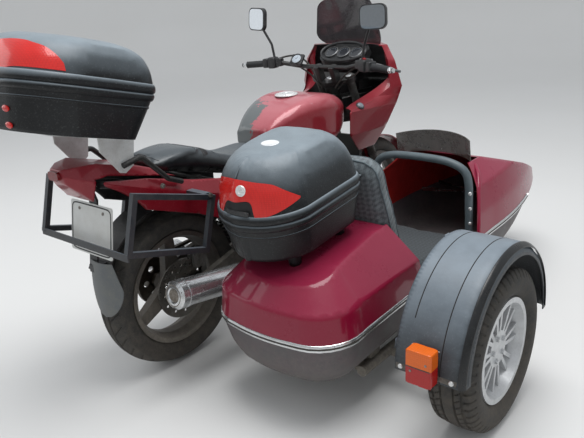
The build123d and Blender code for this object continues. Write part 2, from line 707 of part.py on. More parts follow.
TOP_CASE = dict(width=537.0, length=450.0)
TOP_CASE_FRONT = Vector(0, -157, 1118)
TOP_CASE_TILT = 13.5
TOP_BASE_DEEP = 150.0
top_plane = case_plane(TOP_CASE_FRONT, TOP_CASE_TILT)
top_base = case_half(top_plane.offset(-0.4), levels=((0, 0), (TOP_BASE_DEEP, 35)), up=False, **TOP_CASE)
with BuildPart() as top_case_base:
    add(top_base.part)
    knuckles(top_plane, False)
save(top_case_base, "top_case_base")
TOP_LID_LEVELS = ((0, 0), (50, 4), (97, 19), (127, 42), (141, 76), (148, 108))
top_lid = case_half(top_plane.offset(0.4), levels=TOP_LID_LEVELS, up=True, **TOP_CASE)
with BuildPart() as top_case_lid:
    add(top_lid.part)
    knuckles(top_plane, True)
save(top_case_lid, "top_case_lid")

SIDE_CASE = dict(width=370.0, length=470.0)
SIDE_CASE_FRONT = Vector(552, 318, 787)
SIDE_CASE_TILT = -8.0
SIDE_BASE_DEEP = 141.0
CASE_FEET = ((-100, -80), (100, -80), (-90, -320), (90, -320))
side_plane = case_plane(SIDE_CASE_FRONT, SIDE_CASE_TILT)
side_base = case_half(side_plane.offset(-0.4), levels=((0, 0), (SIDE_BASE_DEEP, 20)), up=False, **SIDE_CASE)
SIDE_LID_LEVELS = ((0, 0), (70, 9), (115, 17), (150, 32), (180, 52), (198, 82))
side_lid = case_half(side_plane.offset(0.4), levels=SIDE_LID_LEVELS, up=True, **SIDE_CASE)
with BuildPart() as side_case_lid:
    add(side_lid.part)
    knuckles(side_plane, True)
save(side_case_lid, "side_case_lid")

# Luggage rack: side brackets in bare plate, a platform, and the black grab rails.
RACK_X = 132.0
rack_plane = top_plane.offset(-TOP_BASE_DEEP - 0.4 - SEAT_GAP)
with BuildPart() as luggage_rack:
    with BuildSketch(rack_plane):
        with Locations((0, -190)):
            RectangleRounded(300, 250, 20)
            with GridLocations(110, 0, 2, 1):
                RectangleRounded(80, 190, 12, mode=Mode.SUBTRACT)
    extrude(amount=-6)
    with BuildSketch(side((RACK_X, 0, 0))):
        Polygon((-190, 970), (-205, 880), (-240, 860), (-262, 866), (-300, 915), (-330, 952), (-330, 1003),
                align=None)
    extrude(amount=5)
    mirror(about=Plane.YZ)
save(luggage_rack, "luggage_rack")

with BuildPart() as grab_rails:
    tube([(147.4, -10, 775), (147.4, -70, 800), (147.4, -180, 905), (147.4, -255, 890)], 10, 28)
    mirror(about=Plane.YZ)
save(grab_rails, "grab_rails")

# Front fairing: creased shell with its nose above the wheel, open to the rear and below.
FAIRING_TABLE = (  # z, nose y, half width, widest y, rear y, rear half width
    (665, 1330, 190, 1230, 1090, 190),
    (760, 1500, 235, 1270, 975, 222),
    (870, 1570, 275, 1300, 975, 222),
    (915, 1573, 292, 1300, 1120, 190),
    (955, 1575, 306, 1300, 1176, 176),
    (1075, 1520, 272, 1290, 1226, 200),
    (1150, 1440, 222, 1300, 1264, 200),
)
FAIRING_WALL = 6.0
FAIRING_TOP, DECK_NOSE = FAIRING_TABLE[-1][:2]
DECK_WIDE = (FAIRING_TABLE[-1][3], FAIRING_TABLE[-1][2])
DECK_REAR = FAIRING_TABLE[-1][4:]
DASH_ROUND = 263.0
LIGHT_WIDE = 166.0
LIGHT_TALL = 96.0
LIGHT_ROUND = 22.0


def fairing_sections(inset):
    """Plan outlines of the fairing at each height, drawn in by the wall."""
    outlines = []
    for z, nose, wide, wide_y, rear_y, rear_half in FAIRING_TABLE:
        back = rear_y - (20 if inset else 0)
        with BuildSketch(Plane.XY.offset(z)) as level:
            Polygon((-rear_half + inset, back), (-wide + inset, wide_y), (-90, nose - inset),
                    (90, nose - inset), (wide - inset, wide_y), (rear_half - inset, back), align=None)
        outlines.append(level.sketch)
    return outlines


with BuildPart() as front_fairing:
    loft(fairing_sections(0), ruled=True)
    loft(fairing_sections(FAIRING_WALL), ruled=True, mode=Mode.SUBTRACT)
    with BuildSketch(Plane.XY.offset(600)):
        with Locations((0, 1400)):
            Rectangle(340, 500)
    extrude(amount=185, mode=Mode.SUBTRACT)
    with BuildSketch(Plane.XY.offset(FAIRING_TOP)):
        Polygon((-DECK_REAR[1], DECK_REAR[0]), (-DECK_WIDE[1], DECK_WIDE[0]), (-90, DECK_NOSE), (90, DECK_NOSE),
                (DECK_WIDE[1], DECK_WIDE[0]), (DECK_REAR[1], DECK_REAR[0]), align=None)
        with Locations((0, 1090)):
            Circle(DASH_ROUND, mode=Mode.SUBTRACT)
    extrude(amount=-FAIRING_WALL)
    with BuildSketch(across((0, LIGHT_BACK + 200, LIGHT_Z))):
        RectangleRounded(LIGHT_WIDE + 2 * SEAT_GAP, LIGHT_TALL + 2 * SEAT_GAP, LIGHT_ROUND + SEAT_GAP)
    extrude(amount=200, mode=Mode.SUBTRACT)
save(front_fairing, "front_fairing")

with BuildPart() as headlight:
    loft(fairing_sections(0), ruled=True)
    with BuildSketch(across((0, LIGHT_BACK + 200, LIGHT_Z))):
        RectangleRounded(LIGHT_WIDE, LIGHT_TALL, LIGHT_ROUND)
    extrude(amount=200, mode=Mode.INTERSECT)
save(headlight, "headlight")

SCREEN_FOOT = 206.0
SCREEN_TOP = 158.0
SCREEN_HIGH = 1372.0
with BuildPart() as windscreen:
    with BuildSketch(Plane(origin=(0, 1310, 1100), x_dir=(1, 0, 0), z_dir=(0, -0.36, 1))):
        with BuildLine():
            ThreePointArc((-205, 0), (0, 88), (205, 0))
            ThreePointArc((-201, -2), (0, 84), (201, -2))
            Line((-205, 0), (-201, -2))
            Line((205, 0), (201, -2))
        make_face()
    extrude(amount=296)
    with BuildSketch(side((0, 0, 0))):
        Rectangle(3200, 2 * (FAIRING_TOP + SEAT_GAP))
    extrude(amount=300, both=True, mode=Mode.SUBTRACT)
    with BuildSketch(across((0, 1600, 0))) as front:
        Polygon((-SCREEN_FOOT, FAIRING_TOP - 10), (-SCREEN_TOP, SCREEN_HIGH), (SCREEN_TOP, SCREEN_HIGH),
                (SCREEN_FOOT, FAIRING_TOP - 10), align=None)
        fillet(front.vertices().group_by(Axis.Z)[-1], 62)
    extrude(amount=600, mode=Mode.INTERSECT)
save(windscreen, "windscreen")

with BuildPart() as instruments:
    with BuildSketch(Plane(origin=(0, 1250, 1112), x_dir=(1, 0, 0), z_dir=(0, -0.62, 0.78))):
        RectangleRounded(270, 120, 40)
    extrude(amount=-34)
    with BuildSketch(Plane.XY.offset(FAIRING_TOP)):
        with Locations((0, 1090)):
            Circle(DASH_ROUND - SEAT_GAP)
        with Locations((0, 1284 + 50)):
            Rectangle(220, 100, mode=Mode.INTERSECT)
    extrude(amount=-9)
save(instruments, "instrument_panel")

# Steering: stem, yokes, fork legs, bars.
LEG_X = 96.0
FORK_OFFSET = 38.8
fork_dir = steer_dir
leg_foot = front_axle + Vector(LEG_X, 0, 0)


def leg_at(run):
    """A point on the right fork leg, a distance above the front axle."""
    return leg_foot + fork_dir * run


YOKE_HIGH = HEAD_HIGH + 4
YOKE_THICK = 22.0
axle_run = (front_axle - steer_foot).dot(steer_dir)
leg_top = YOKE_HIGH / steer_dir.Z - axle_run + YOKE_THICK + 8 - steer_foot.Z
CALIPER_BACK = 62.0
with BuildPart() as front_fork:
    with BuildSketch(Plane(origin=leg_at(-35), z_dir=fork_dir)):
        Circle(24)
    extrude(amount=330)
    with BuildSketch(Plane(origin=leg_at(295), z_dir=fork_dir)):
        Circle(20.5)
    extrude(amount=leg_top - 295)
    with BuildSketch(Plane(origin=leg_at(118) + Vector(FRONT_DISC_X - LEG_X, 0, 0), x_dir=fork_dir, z_dir=(1, 0, 0))):
        with Locations((0, CALIPER_BACK)):
            RectangleRounded(92, 66, 14)
    extrude(amount=22, both=True)
    with BuildSketch(Plane(origin=leg_at(118) + Vector(FRONT_DISC_X - LEG_X, 0, 0), x_dir=fork_dir, z_dir=(1, 0, 0))):
        with Locations((0, CALIPER_BACK - 20)):
            Rectangle(200, 110)
    extrude(amount=DISC_THICK / 2 + 3, both=True, mode=Mode.SUBTRACT)
    mirror(about=Plane.YZ)
    with BuildSketch(side(front_axle)):
        Circle(AXLE_RADIUS)
    extrude(amount=LEG_X + 30, both=True)
save(front_fork, "front_fork")

with BuildPart() as yokes:
    for height, thick in ((HEAD_LOW - 34, 30), (YOKE_HIGH, YOKE_THICK)):
        with BuildSketch(Plane(origin=on_steer(height), x_dir=(1, 0, 0), z_dir=fork_dir)):
            with Locations((-LEG_X, FORK_OFFSET), (0, 0), (LEG_X, FORK_OFFSET)):
                Circle(31)
            make_hull()
            with Locations((-LEG_X, FORK_OFFSET), (LEG_X, FORK_OFFSET)):
                Circle(20.5 + SEAT_GAP, mode=Mode.SUBTRACT)
        extrude(amount=thick)
    with BuildSketch(Plane(origin=on_steer(HEAD_LOW - 34), z_dir=fork_dir)):
        Circle(STEM_RADIUS)
    extrude(amount=(HEAD_HIGH - HEAD_LOW + 60) / fork_dir.Z)
save(yokes, "fork_yokes")

with BuildPart() as handlebar:
    tube([(BAR_HALF, 980, 1068), (240, 1030, 1082), (130, 1085, 1060), (-130, 1085, 1060),
          (-240, 1030, 1082), (-BAR_HALF, 980, 1068)], 11, 40)
    with BuildSketch(Plane(origin=on_steer(YOKE_HIGH) + fork_dir * (YOKE_THICK + SEAT_GAP),
                           x_dir=(1, 0, 0), z_dir=fork_dir)):
        with Locations((-45, 0), (45, 0)):
            RectangleRounded(30, 44, 8)
    extrude(amount=1064 / steer_dir.Z - YOKE_HIGH / steer_dir.Z - YOKE_THICK)
save(handlebar, "handlebar")

with BuildPart() as mirrors:
    tube([(262, 1020, 1092), (276, 1016, 1172), (322, 996, 1262)], 6, 40)
    with BuildSketch(Plane(origin=(342, 984, 1295), x_dir=(0.97, 0.2, 0.04), z_dir=(0.2, -1, 0.06))):
        RectangleRounded(124, 108, 28)
    extrude(amount=-20)
    mirror(about=Plane.YZ)
save(mirrors, "mirrors")

with BuildPart() as front_mudguard:
    with BuildSketch(side(front_axle)) as fguard:
        with BuildLine():
            CenterArc((0, 0), FRONT_RADIUS + 14, 5, 140)
            CenterArc((0, 0), FRONT_RADIUS + 18, 5, 140)
            for turn in (5, 145):
                Line(((FRONT_RADIUS + 14) * cos(radians(turn)), (FRONT_RADIUS + 14) * sin(radians(turn))),
                     ((FRONT_RADIUS + 18) * cos(radians(turn)), (FRONT_RADIUS + 18) * sin(radians(turn))))
        make_face()
    extrude(amount=66, both=True)
    with BuildSketch(Plane(origin=leg_at(290) - Vector(LEG_X - 62, 0, 0), x_dir=fork_dir, z_dir=(1, 0, 0))):
        RectangleRounded(100, 34, 8)
    extrude(amount=LEG_X - 62 - 24 - SEAT_GAP)
    mirror(about=Plane.YZ)
save(front_mudguard, "front_mudguard")

# Sidecar chassis: two long tubes, cross tubes, wheel carrier and four struts to the motorcycle.
RAIL_Z = 150.0
CHASSIS_LEFT = 400.0
CHASSIS_RIGHT = 840.0
CHASSIS_TUBE = 20.0
CHASSIS_BACK = 120.0
CHASSIS_FRONT = 1420.0
CARRIER_X = 1020.0
TRIM_BACK = 348.0
TRIM_RISE = 0.042
HULL_DEEP = 158.0
CAR_PADS = (210.0, 560.0, 1000.0)
PAD_HALF = 30.0


def floor_at(y):
    """The height of the hull's underside above a point of the chassis."""
    return TRIM_BACK + TRIM_RISE * y - HULL_DEEP * (1 + TRIM_RISE ** 2) ** 0.5


with BuildPart() as sidecar_chassis:
    for x in (CHASSIS_LEFT, CHASSIS_RIGHT):
        tube([(x, CHASSIS_BACK, RAIL_Z), (x, CHASSIS_FRONT, RAIL_Z)], CHASSIS_TUBE, 10)
    for y in (CHASSIS_BACK + 30, 760, CHASSIS_FRONT - 40):
        tube([(CHASSIS_LEFT, y, RAIL_Z), (CHASSIS_RIGHT, y, RAIL_Z)], CHASSIS_TUBE - 2, 10)
    with BuildSketch(side((CHASSIS_RIGHT, LEAD, RAIL_Z))):
        RectangleRounded(56, 36, 8)
    extrude(amount=CARRIER_X - CHASSIS_RIGHT)
    with BuildSketch(side((CARRIER_X - 40, LEAD, (CAR_RADIUS + RAIL_Z) / 2))):
        RectangleRounded(70, CAR_RADIUS - RAIL_Z + 60, 12)
    extrude(amount=40)
    with BuildSketch(side((CARRIER_X - 1, LEAD, CAR_RADIUS))):
        Circle(CAR_STUB)
    extrude(amount=TRACK - CARRIER_X + 20)
    for x, inward in ((CHASSIS_LEFT, 1), (CHASSIS_RIGHT, -1)):
        for y in CAR_PADS:
            with BuildSketch(side((x, 0, 0))):
                Polygon((y - PAD_HALF, RAIL_Z), (y + PAD_HALF, RAIL_Z),
                        (y + PAD_HALF, floor_at(y + PAD_HALF) - SEAT_GAP),
                        (y - PAD_HALF, floor_at(y - PAD_HALF) - SEAT_GAP), align=None)
            extrude(amount=inward * 40)
save(sidecar_chassis, "sidecar_chassis")

with BuildPart() as struts:
    tube([(CHASSIS_LEFT - 34, 300, RAIL_Z + 6), (200, 480, 385)], 14, 10)
    tube([(CHASSIS_LEFT - 30, 1020, RAIL_Z), (168, 930, 300)], 14, 10)
    tube([(CHASSIS_LEFT - 36, 1150, RAIL_Z + 14), (146, 905, 690)], 14, 10)
save(struts, "sidecar_struts")

# Sidecar body: outlines on planes parallel to the trim line, joined upward and downward from it.
# Its room is the same form drawn in by the wall. The cockpit is cut open and the form split at the trim line.
HULL_BACK = -146.0
HULL_NOSE = 1950.0
HULL_TAPER = 1080.0
SILL = 410.0
hull_base = Plane(origin=(HULL_X, 0, TRIM_BACK), x_dir=(1, 0, 0), z_dir=(0, -TRIM_RISE, 1))
HULL_TABLE = (  # height above the trim line, half width, tail and nose of the outline
    (-HULL_DEEP, 226, 48, 330),
    (-120, 252, 24, 190),
    (0, 280, 0, 0),
    (106, 268, 10, 26),
)
TAIL_FORM = ((106, 268, 10, 26), (230, 150, 120, 700))
COWL_FORM = ((106, 268, 10, 26), (212, 240, 60, 60), (290, 166, 120, 120))


def hull_outline(height, half, tail, nose, wall):
    """One outline of the body at a height above the trim line, drawn in by the wall."""
    wide = half - wall
    back = HULL_BACK + tail + wall
    tip = HULL_NOSE - nose - wall
    shoulder = HULL_TAPER
    with BuildSketch(hull_base.offset(height)) as level:
        with BuildLine() as outline:
            ThreePointArc((-wide, back + 0.72 * wide), (-wide * 0.84, back + 0.2 * wide), (-wide * 0.5, back + 0.05 * wide))
            ThreePointArc((-wide * 0.5, back + 0.05 * wide), (0, back), (wide * 0.5, back + 0.05 * wide))
            ThreePointArc((wide * 0.5, back + 0.05 * wide), (wide * 0.84, back + 0.2 * wide), (wide, back + 0.72 * wide))
            Line((wide, back + 0.72 * wide), (wide, shoulder))
            ThreePointArc((wide, shoulder), (wide * 0.9, shoulder + 0.5 * (tip - shoulder)),
                          (wide * 0.62, shoulder + 0.85 * (tip - shoulder)))
            ThreePointArc((wide * 0.62, shoulder + 0.85 * (tip - shoulder)), (0, tip),
                          (-wide * 0.62, shoulder + 0.85 * (tip - shoulder)))
            ThreePointArc((-wide * 0.62, shoulder + 0.85 * (tip - shoulder)),
                          (-wide * 0.9, shoulder + 0.5 * (tip - shoulder)), (-wide, shoulder))
            Line((-wide, shoulder), (-wide, back + 0.72 * wide))
        make_face(outline.line)
    return level.sketch


def hull_form(wall):
    """The body's outer form, or its room when a wall is given."""
    with BuildPart() as form:
        levels = [hull_outline(*row, wall) for row in HULL_TABLE]
        levels[0] = levels[0].moved(Location((0, 0, wall)))
        loft(levels, ruled=True)
        with BuildSketch(side((0, 0, 0))):
            Polygon((-300, 100), (1420, 100), (1420, 186 + wall), (1930, 412), (2100, 412), (2100, 440),
                    (1935 - wall, 444 - wall), (1838, 474 - wall), (1550, 574 - wall), (1135, 694 - wall),
                    (1000, 900), (-300, 900), align=None)
        extrude(amount=1200, mode=Mode.INTERSECT)
    with BuildPart() as tail:
        loft([hull_outline(*row, wall) for row in TAIL_FORM], ruled=True)
        with BuildSketch(side((0, 0, 0))):
            Polygon((-300, 100), (700, 100), (700, 640 - wall), (430, 606 - wall), (60, 556 - wall),
                    (-70, 524 - wall), (-300, 440), align=None)
        extrude(amount=1200, mode=Mode.INTERSECT)
    with BuildPart() as cowl:
        loft([hull_outline(*row, wall) for row in COWL_FORM], ruled=True)
        with BuildSketch(side((0, 0, 0))):
            Polygon((880, 100), (2100, 100), (2100, 440), (1935 - wall, 444 - wall), (1838, 474 - wall), (1550, 574 - wall),
                    (1135, 694 - wall), (880, 694 - wall), align=None)
        extrude(amount=1200, mode=Mode.INTERSECT)
    with BuildPart() as whole:
        add(form.part)
        add(tail.part)
        add(cowl.part)
    return whole.part


# The cockpit is cut down to the sill, up to a cowl whose rear edge is rounded in plan.
COCKPIT_FRONT = 1088.0
COCKPIT_SIDE = 870.0
COCKPIT_HALF = HULL_HALF + 10
with BuildPart() as cockpit:
    with BuildSketch(side((HULL_X, 0, 0))):
        Polygon((446, SILL), (336, 900), (COCKPIT_FRONT + 60, 900), (COCKPIT_FRONT + 60, SILL), align=None)
    extrude(amount=600, both=True)
    with BuildSketch(Plane((HULL_X, 0, SILL - 10))):
        with BuildLine():
            ThreePointArc((-COCKPIT_HALF, COCKPIT_SIDE), (0, COCKPIT_FRONT), (COCKPIT_HALF, COCKPIT_SIDE))
            Polyline((COCKPIT_HALF, COCKPIT_SIDE), (COCKPIT_HALF, 300), (-COCKPIT_HALF, 300),
                     (-COCKPIT_HALF, COCKPIT_SIDE))
        make_face()
    extrude(amount=600, mode=Mode.INTERSECT)

with BuildPart() as hull_shell:
    add(hull_form(0))
    add(hull_form(HULL_WALL), mode=Mode.SUBTRACT)
    add(cockpit.part, mode=Mode.SUBTRACT)

with BuildPart() as sidecar_body:
    add(hull_shell.part)
    split(bisect_by=hull_base, keep=Keep.TOP)
save(sidecar_body, "sidecar_body")
with BuildPart() as sidecar_hull:
    add(hull_shell.part)
    split(bisect_by=hull_base, keep=Keep.BOTTOM)
save(sidecar_hull, "sidecar_hull")

# The side case stands on four feet, cut to the deck.
with BuildPart() as side_case_base:
    with BuildSketch(side_plane.offset(-SIDE_BASE_DEEP + 2)):
        with Locations(*CASE_FEET):
            Circle(22)
    extrude(amount=-90)
    add(hull_form(-SEAT_GAP), mode=Mode.SUBTRACT)
    add(side_base.part)
    knuckles(side_plane, False)
save(side_case_base, "side_case_base")

# Sidecar seat, in houndstooth cloth.
SEAT_LEAN = 13.0
with BuildPart() as sidecar_backrest:
    with BuildSketch(Plane(origin=(HULL_X, 456, 385), x_dir=(1, 0, 0),
                           z_dir=(0, -cos(radians(SEAT_LEAN)), -sin(radians(SEAT_LEAN))))) as back:
        Polygon((-190, 4), (190, 4), (176, 250), (138, 478), (-138, 478), (-176, 250), align=None)
        fillet(back.vertices().group_by(Axis.Z)[-1], 90)
        fillet(back.vertices().group_by(Axis.Z)[0], 40)
    extrude(amount=-60)
save(sidecar_backrest, "sidecar_backrest")

with BuildPart() as sidecar_cushion:
    with BuildSketch(Plane(origin=(HULL_X, 770, 290))):
        RectangleRounded(450, 420, 50)
    extrude(amount=88)
save(sidecar_cushion, "sidecar_cushion")

HOOP_Y = 905.0
with BuildPart() as sidecar_hoop:
    tube([(HULL_X - 225, HOOP_Y + 40, 400), (HULL_X - 225, HOOP_Y + 15, 640), (HULL_X - 60, HOOP_Y, 715),
          (HULL_X + 60, HOOP_Y, 715), (HULL_X + 225, HOOP_Y + 15, 640), (HULL_X + 225, HOOP_Y + 40, 400)], 17, 60)
save(sidecar_hoop, "sidecar_hoop")

# Low smoked screen, trimmed to the cowl that it stands on.
with BuildPart() as sidecar_screen:
    with BuildSketch(Plane(origin=(HULL_X - 20, 1092, 590), x_dir=(1, 0, 0), z_dir=(0, -0.2, 1))):
        with BuildLine():
            ThreePointArc((-182, 0), (0, 82), (182, 0))
            ThreePointArc((-179, -3), (0, 78), (179, -3))
            Line((-182, 0), (-179, -3))
            Line((182, 0), (179, -3))
        make_face()
    extrude(amount=190)
    add(hull_form(-SEAT_GAP), mode=Mode.SUBTRACT)
save(sidecar_screen, "sidecar_screen")

# Sidecar mudguard: a half-round trailer guard with a turned-down outer edge, and its lamp.
ARCH_Y = 322.0
ARCH_Z = 307.0
ARCH_RADIUS = 333.0
ARCH_IN = 1052.0
ARCH_OUT = 1262.0
ARCH_WALL = 4.0
ARCH_EDGE = 40.0
ARCH_TURN = 180.0
STAY_TURNS = (14.0, 90.0, 166.0)
STAY_START = 40.0
LAMP_X = (ARCH_IN + ARCH_OUT) / 2
LAMP_DEEP = 48.0
LAMP_Z = 364.0
with BuildPart() as sidecar_mudguard:
    with BuildSketch(Plane((0, ARCH_Y, ARCH_Z))):
        Polygon((ARCH_IN, ARCH_RADIUS), (ARCH_OUT, ARCH_RADIUS), (ARCH_OUT + 18, ARCH_RADIUS - 14),
                (ARCH_OUT + 20, ARCH_RADIUS - ARCH_EDGE), (ARCH_OUT + 16, ARCH_RADIUS - ARCH_EDGE),
                (ARCH_OUT + 13, ARCH_RADIUS - 16), (ARCH_OUT - 2, ARCH_RADIUS - ARCH_WALL),
                (ARCH_IN, ARCH_RADIUS - ARCH_WALL), align=None)
    revolve(axis=Axis((0, ARCH_Y, ARCH_Z), (1, 0, 0)), revolution_arc=ARCH_TURN)
    with BuildSketch(side((ARCH_IN - 6, ARCH_Y, ARCH_Z))):
        for turn in STAY_TURNS:
            with Locations(Rotation(0, 0, turn)):
                with Locations(((ARCH_RADIUS - 1 + STAY_START) / 2, 0)):
                    Rectangle(ARCH_RADIUS - 1 - STAY_START, 32)
        with Locations((LEAD - ARCH_Y, CAR_RADIUS - ARCH_Z)):
            Circle(86)
            Circle(CAR_STUB + 8, mode=Mode.SUBTRACT)
    extrude(amount=7)
    with BuildSketch(side((CARRIER_X + SEAT_GAP, LEAD, 0))):
        with Locations((-24, CAR_RADIUS - 44), (24, CAR_RADIUS - 44)):
            Circle(9)
    extrude(amount=ARCH_IN - 3 - CARRIER_X - SEAT_GAP)
save(sidecar_mudguard, "sidecar_mudguard")

with BuildPart() as sidecar_lamp:
    with BuildSketch(across((LAMP_X, ARCH_Y - ARCH_RADIUS - SEAT_GAP, LAMP_Z))):
        RectangleRounded(84, 112, 6)
    extrude(amount=LAMP_DEEP)
save(sidecar_lamp, "sidecar_tail_lamp")
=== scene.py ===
from math import atan2, copysign, cos, hypot, pi, radians, sin, sqrt, tan

import bmesh
import bpy
from mathutils import Matrix, Vector
from mathutils.bvhtree import BVHTree


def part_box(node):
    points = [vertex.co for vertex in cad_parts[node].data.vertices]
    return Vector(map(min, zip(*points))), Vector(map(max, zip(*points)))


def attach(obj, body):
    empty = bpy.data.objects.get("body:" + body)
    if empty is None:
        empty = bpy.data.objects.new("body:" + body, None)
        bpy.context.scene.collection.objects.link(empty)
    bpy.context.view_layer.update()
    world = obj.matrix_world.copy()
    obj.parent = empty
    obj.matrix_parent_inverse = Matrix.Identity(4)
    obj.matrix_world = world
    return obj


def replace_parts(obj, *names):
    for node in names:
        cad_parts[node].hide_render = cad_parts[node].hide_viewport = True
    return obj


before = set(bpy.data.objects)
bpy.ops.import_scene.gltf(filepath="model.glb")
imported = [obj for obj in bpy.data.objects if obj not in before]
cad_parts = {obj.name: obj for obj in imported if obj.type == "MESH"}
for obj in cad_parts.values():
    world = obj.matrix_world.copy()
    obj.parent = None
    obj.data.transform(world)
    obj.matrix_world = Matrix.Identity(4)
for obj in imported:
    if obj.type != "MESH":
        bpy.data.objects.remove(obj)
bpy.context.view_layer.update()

# ---------------------------------------------------------------------------
# Camera. It stands behind the outfit on its right side, a little above eye level of the seat,
# and leans by three degrees. The lens is a plain wide one without blur.
# ---------------------------------------------------------------------------
EYE = Vector((1.54138, -2.19730, 1.40936))
EYE_YAW, EYE_PITCH, EYE_ROLL = (radians(v) for v in (40.417, 19.094, -3.047))
eye_ahead = Vector((-sin(EYE_YAW) * cos(EYE_PITCH), cos(EYE_YAW) * cos(EYE_PITCH), -sin(EYE_PITCH)))
eye_level = Vector((cos(EYE_YAW), sin(EYE_YAW), 0))
eye_upward = eye_level.cross(eye_ahead)
eye_right = cos(EYE_ROLL) * eye_level + sin(EYE_ROLL) * eye_upward
eye_up = -sin(EYE_ROLL) * eye_level + cos(EYE_ROLL) * eye_upward
lens = bpy.data.cameras.new("eye")
lens.sensor_width = 36.0
lens.lens = 40.18
lens.clip_end = 100.0
eye = bpy.data.objects.new("eye", lens)
eye.matrix_world = Matrix.Translation(EYE) @ Matrix((eye_right, eye_up, -eye_ahead)).transposed().to_4x4()
bpy.context.scene.collection.objects.link(eye)
bpy.context.scene.camera = eye

# ---------------------------------------------------------------------------
# Studio floor: poured pale resin that sweeps up all round into a low wall, so that no edge shows.
# A wide soft lamp hangs overhead, a second stands at the left, and the room fills the rest.
# ---------------------------------------------------------------------------


def srgb(code):
    """A hex colour as linear values for a shader."""
    parts = [int(code[i:i + 2], 16) / 255 for i in (1, 3, 5)]
    return (*[p / 12.92 if p <= 0.04045 else ((p + 0.055) / 1.055) ** 2.4 for p in parts], 1.0)


def put(finish, kind, inputs=None, **settings):
    """Adds one node to a finish with its settings, each input given as a value or as another node's output."""
    made = finish.node_tree.nodes.new("ShaderNode" + kind)
    for name, value in settings.items():
        setattr(made, name, value)
    for name, value in (inputs or {}).items():
        if isinstance(value, bpy.types.NodeSocket):
            finish.node_tree.links.new(value, made.inputs[name])
        else:
            made.inputs[name].default_value = value
    return made


def new_finish(name, **surface):
    """A finish, with the values of its shader set, such as Roughness or Coat_Weight."""
    finish = bpy.data.materials.new(name)
    finish.use_nodes = True
    shader = finish.node_tree.nodes["Principled BSDF"]
    for key, value in surface.items():
        shader.inputs[key.replace("_", " ")].default_value = value
    return finish


def feed(finish, **outputs):
    """Leads nodes' outputs into the finish's own shader, each named by its socket."""
    shader = finish.node_tree.nodes["Principled BSDF"]
    for name, output in outputs.items():
        finish.node_tree.links.new(output, shader.inputs[name.replace("_", " ")])


def clouded(name, first, second, scale, detail=3, placed=False, **surface):
    """A plain finish whose colour wanders between two tones."""
    finish = new_finish(name, **surface)
    inputs = {"Scale": scale, "Detail": detail}
    if placed:
        inputs["Vector"] = put(finish, "TexCoord").outputs["Object"]
    cloud = put(finish, "TexNoise", inputs).outputs["Fac"]
    feed(finish, Base_Color=put(finish, "Mix", {0: cloud, 6: srgb(first), 7: srgb(second)},
         data_type="RGBA").outputs[2])
    return finish


floor_form = bmesh.new()
floor_rings = []
for reach, rise in ((0.01, 0), (4, 0), (8, 0), (9, 0.08), (9.8, 0.4), (10.4, 1.0), (10.7, 1.9), (10.8, 3.2)):
    floor_rings.append([floor_form.verts.new((reach * cos(t * pi / 48), reach * sin(t * pi / 48), rise))
                        for t in range(96)])
for inner, outer in zip(floor_rings, floor_rings[1:]):
    for t in range(96):
        floor_form.faces.new((inner[t], outer[t], outer[(t + 1) % 96], inner[(t + 1) % 96]))
floor_form.faces.new(floor_rings[0])
floor_mesh = bpy.data.meshes.new("studio_floor")
floor_form.to_mesh(floor_mesh)
floor_mesh.polygons.foreach_set("use_smooth", [True] * len(floor_mesh.polygons))
floor_mesh.materials.append(clouded("poured_resin", "#dddddb", "#e2e2e1", 0.8, placed=True, Roughness=0.7))
studio_floor = bpy.data.objects.new("studio_floor", floor_mesh)
bpy.context.scene.collection.objects.link(studio_floor)

for lamp_name, lamp_size, lamp_power, lamp_at in (
        ("overhead_softbox", 2.8, 155.0, Vector((0.6, -0.4, 4.6))), ("left_softbox", 3.0, 36.0,
         Vector((-4.2, -2.6, 2.4)))):
    softbox = bpy.data.lights.new(lamp_name, "AREA")
    softbox.size = lamp_size
    softbox.energy = lamp_power
    softbox_stand = bpy.data.objects.new(lamp_name, softbox)
    softbox_stand.location = lamp_at
    softbox_stand.rotation_euler = (Vector((0, 0, 0.4)) - lamp_at).to_track_quat("-Z", "Y").to_euler()
    bpy.context.scene.collection.objects.link(softbox_stand)

room = bpy.data.worlds.new("room")
bpy.context.scene.world = room
room.use_nodes = True
room.node_tree.nodes["Background"].inputs["Color"].default_value = (0.93, 0.96, 1.0, 1)
room.node_tree.nodes["Background"].inputs["Strength"].default_value = 0.64
bpy.context.scene.view_settings.view_transform = "Standard"
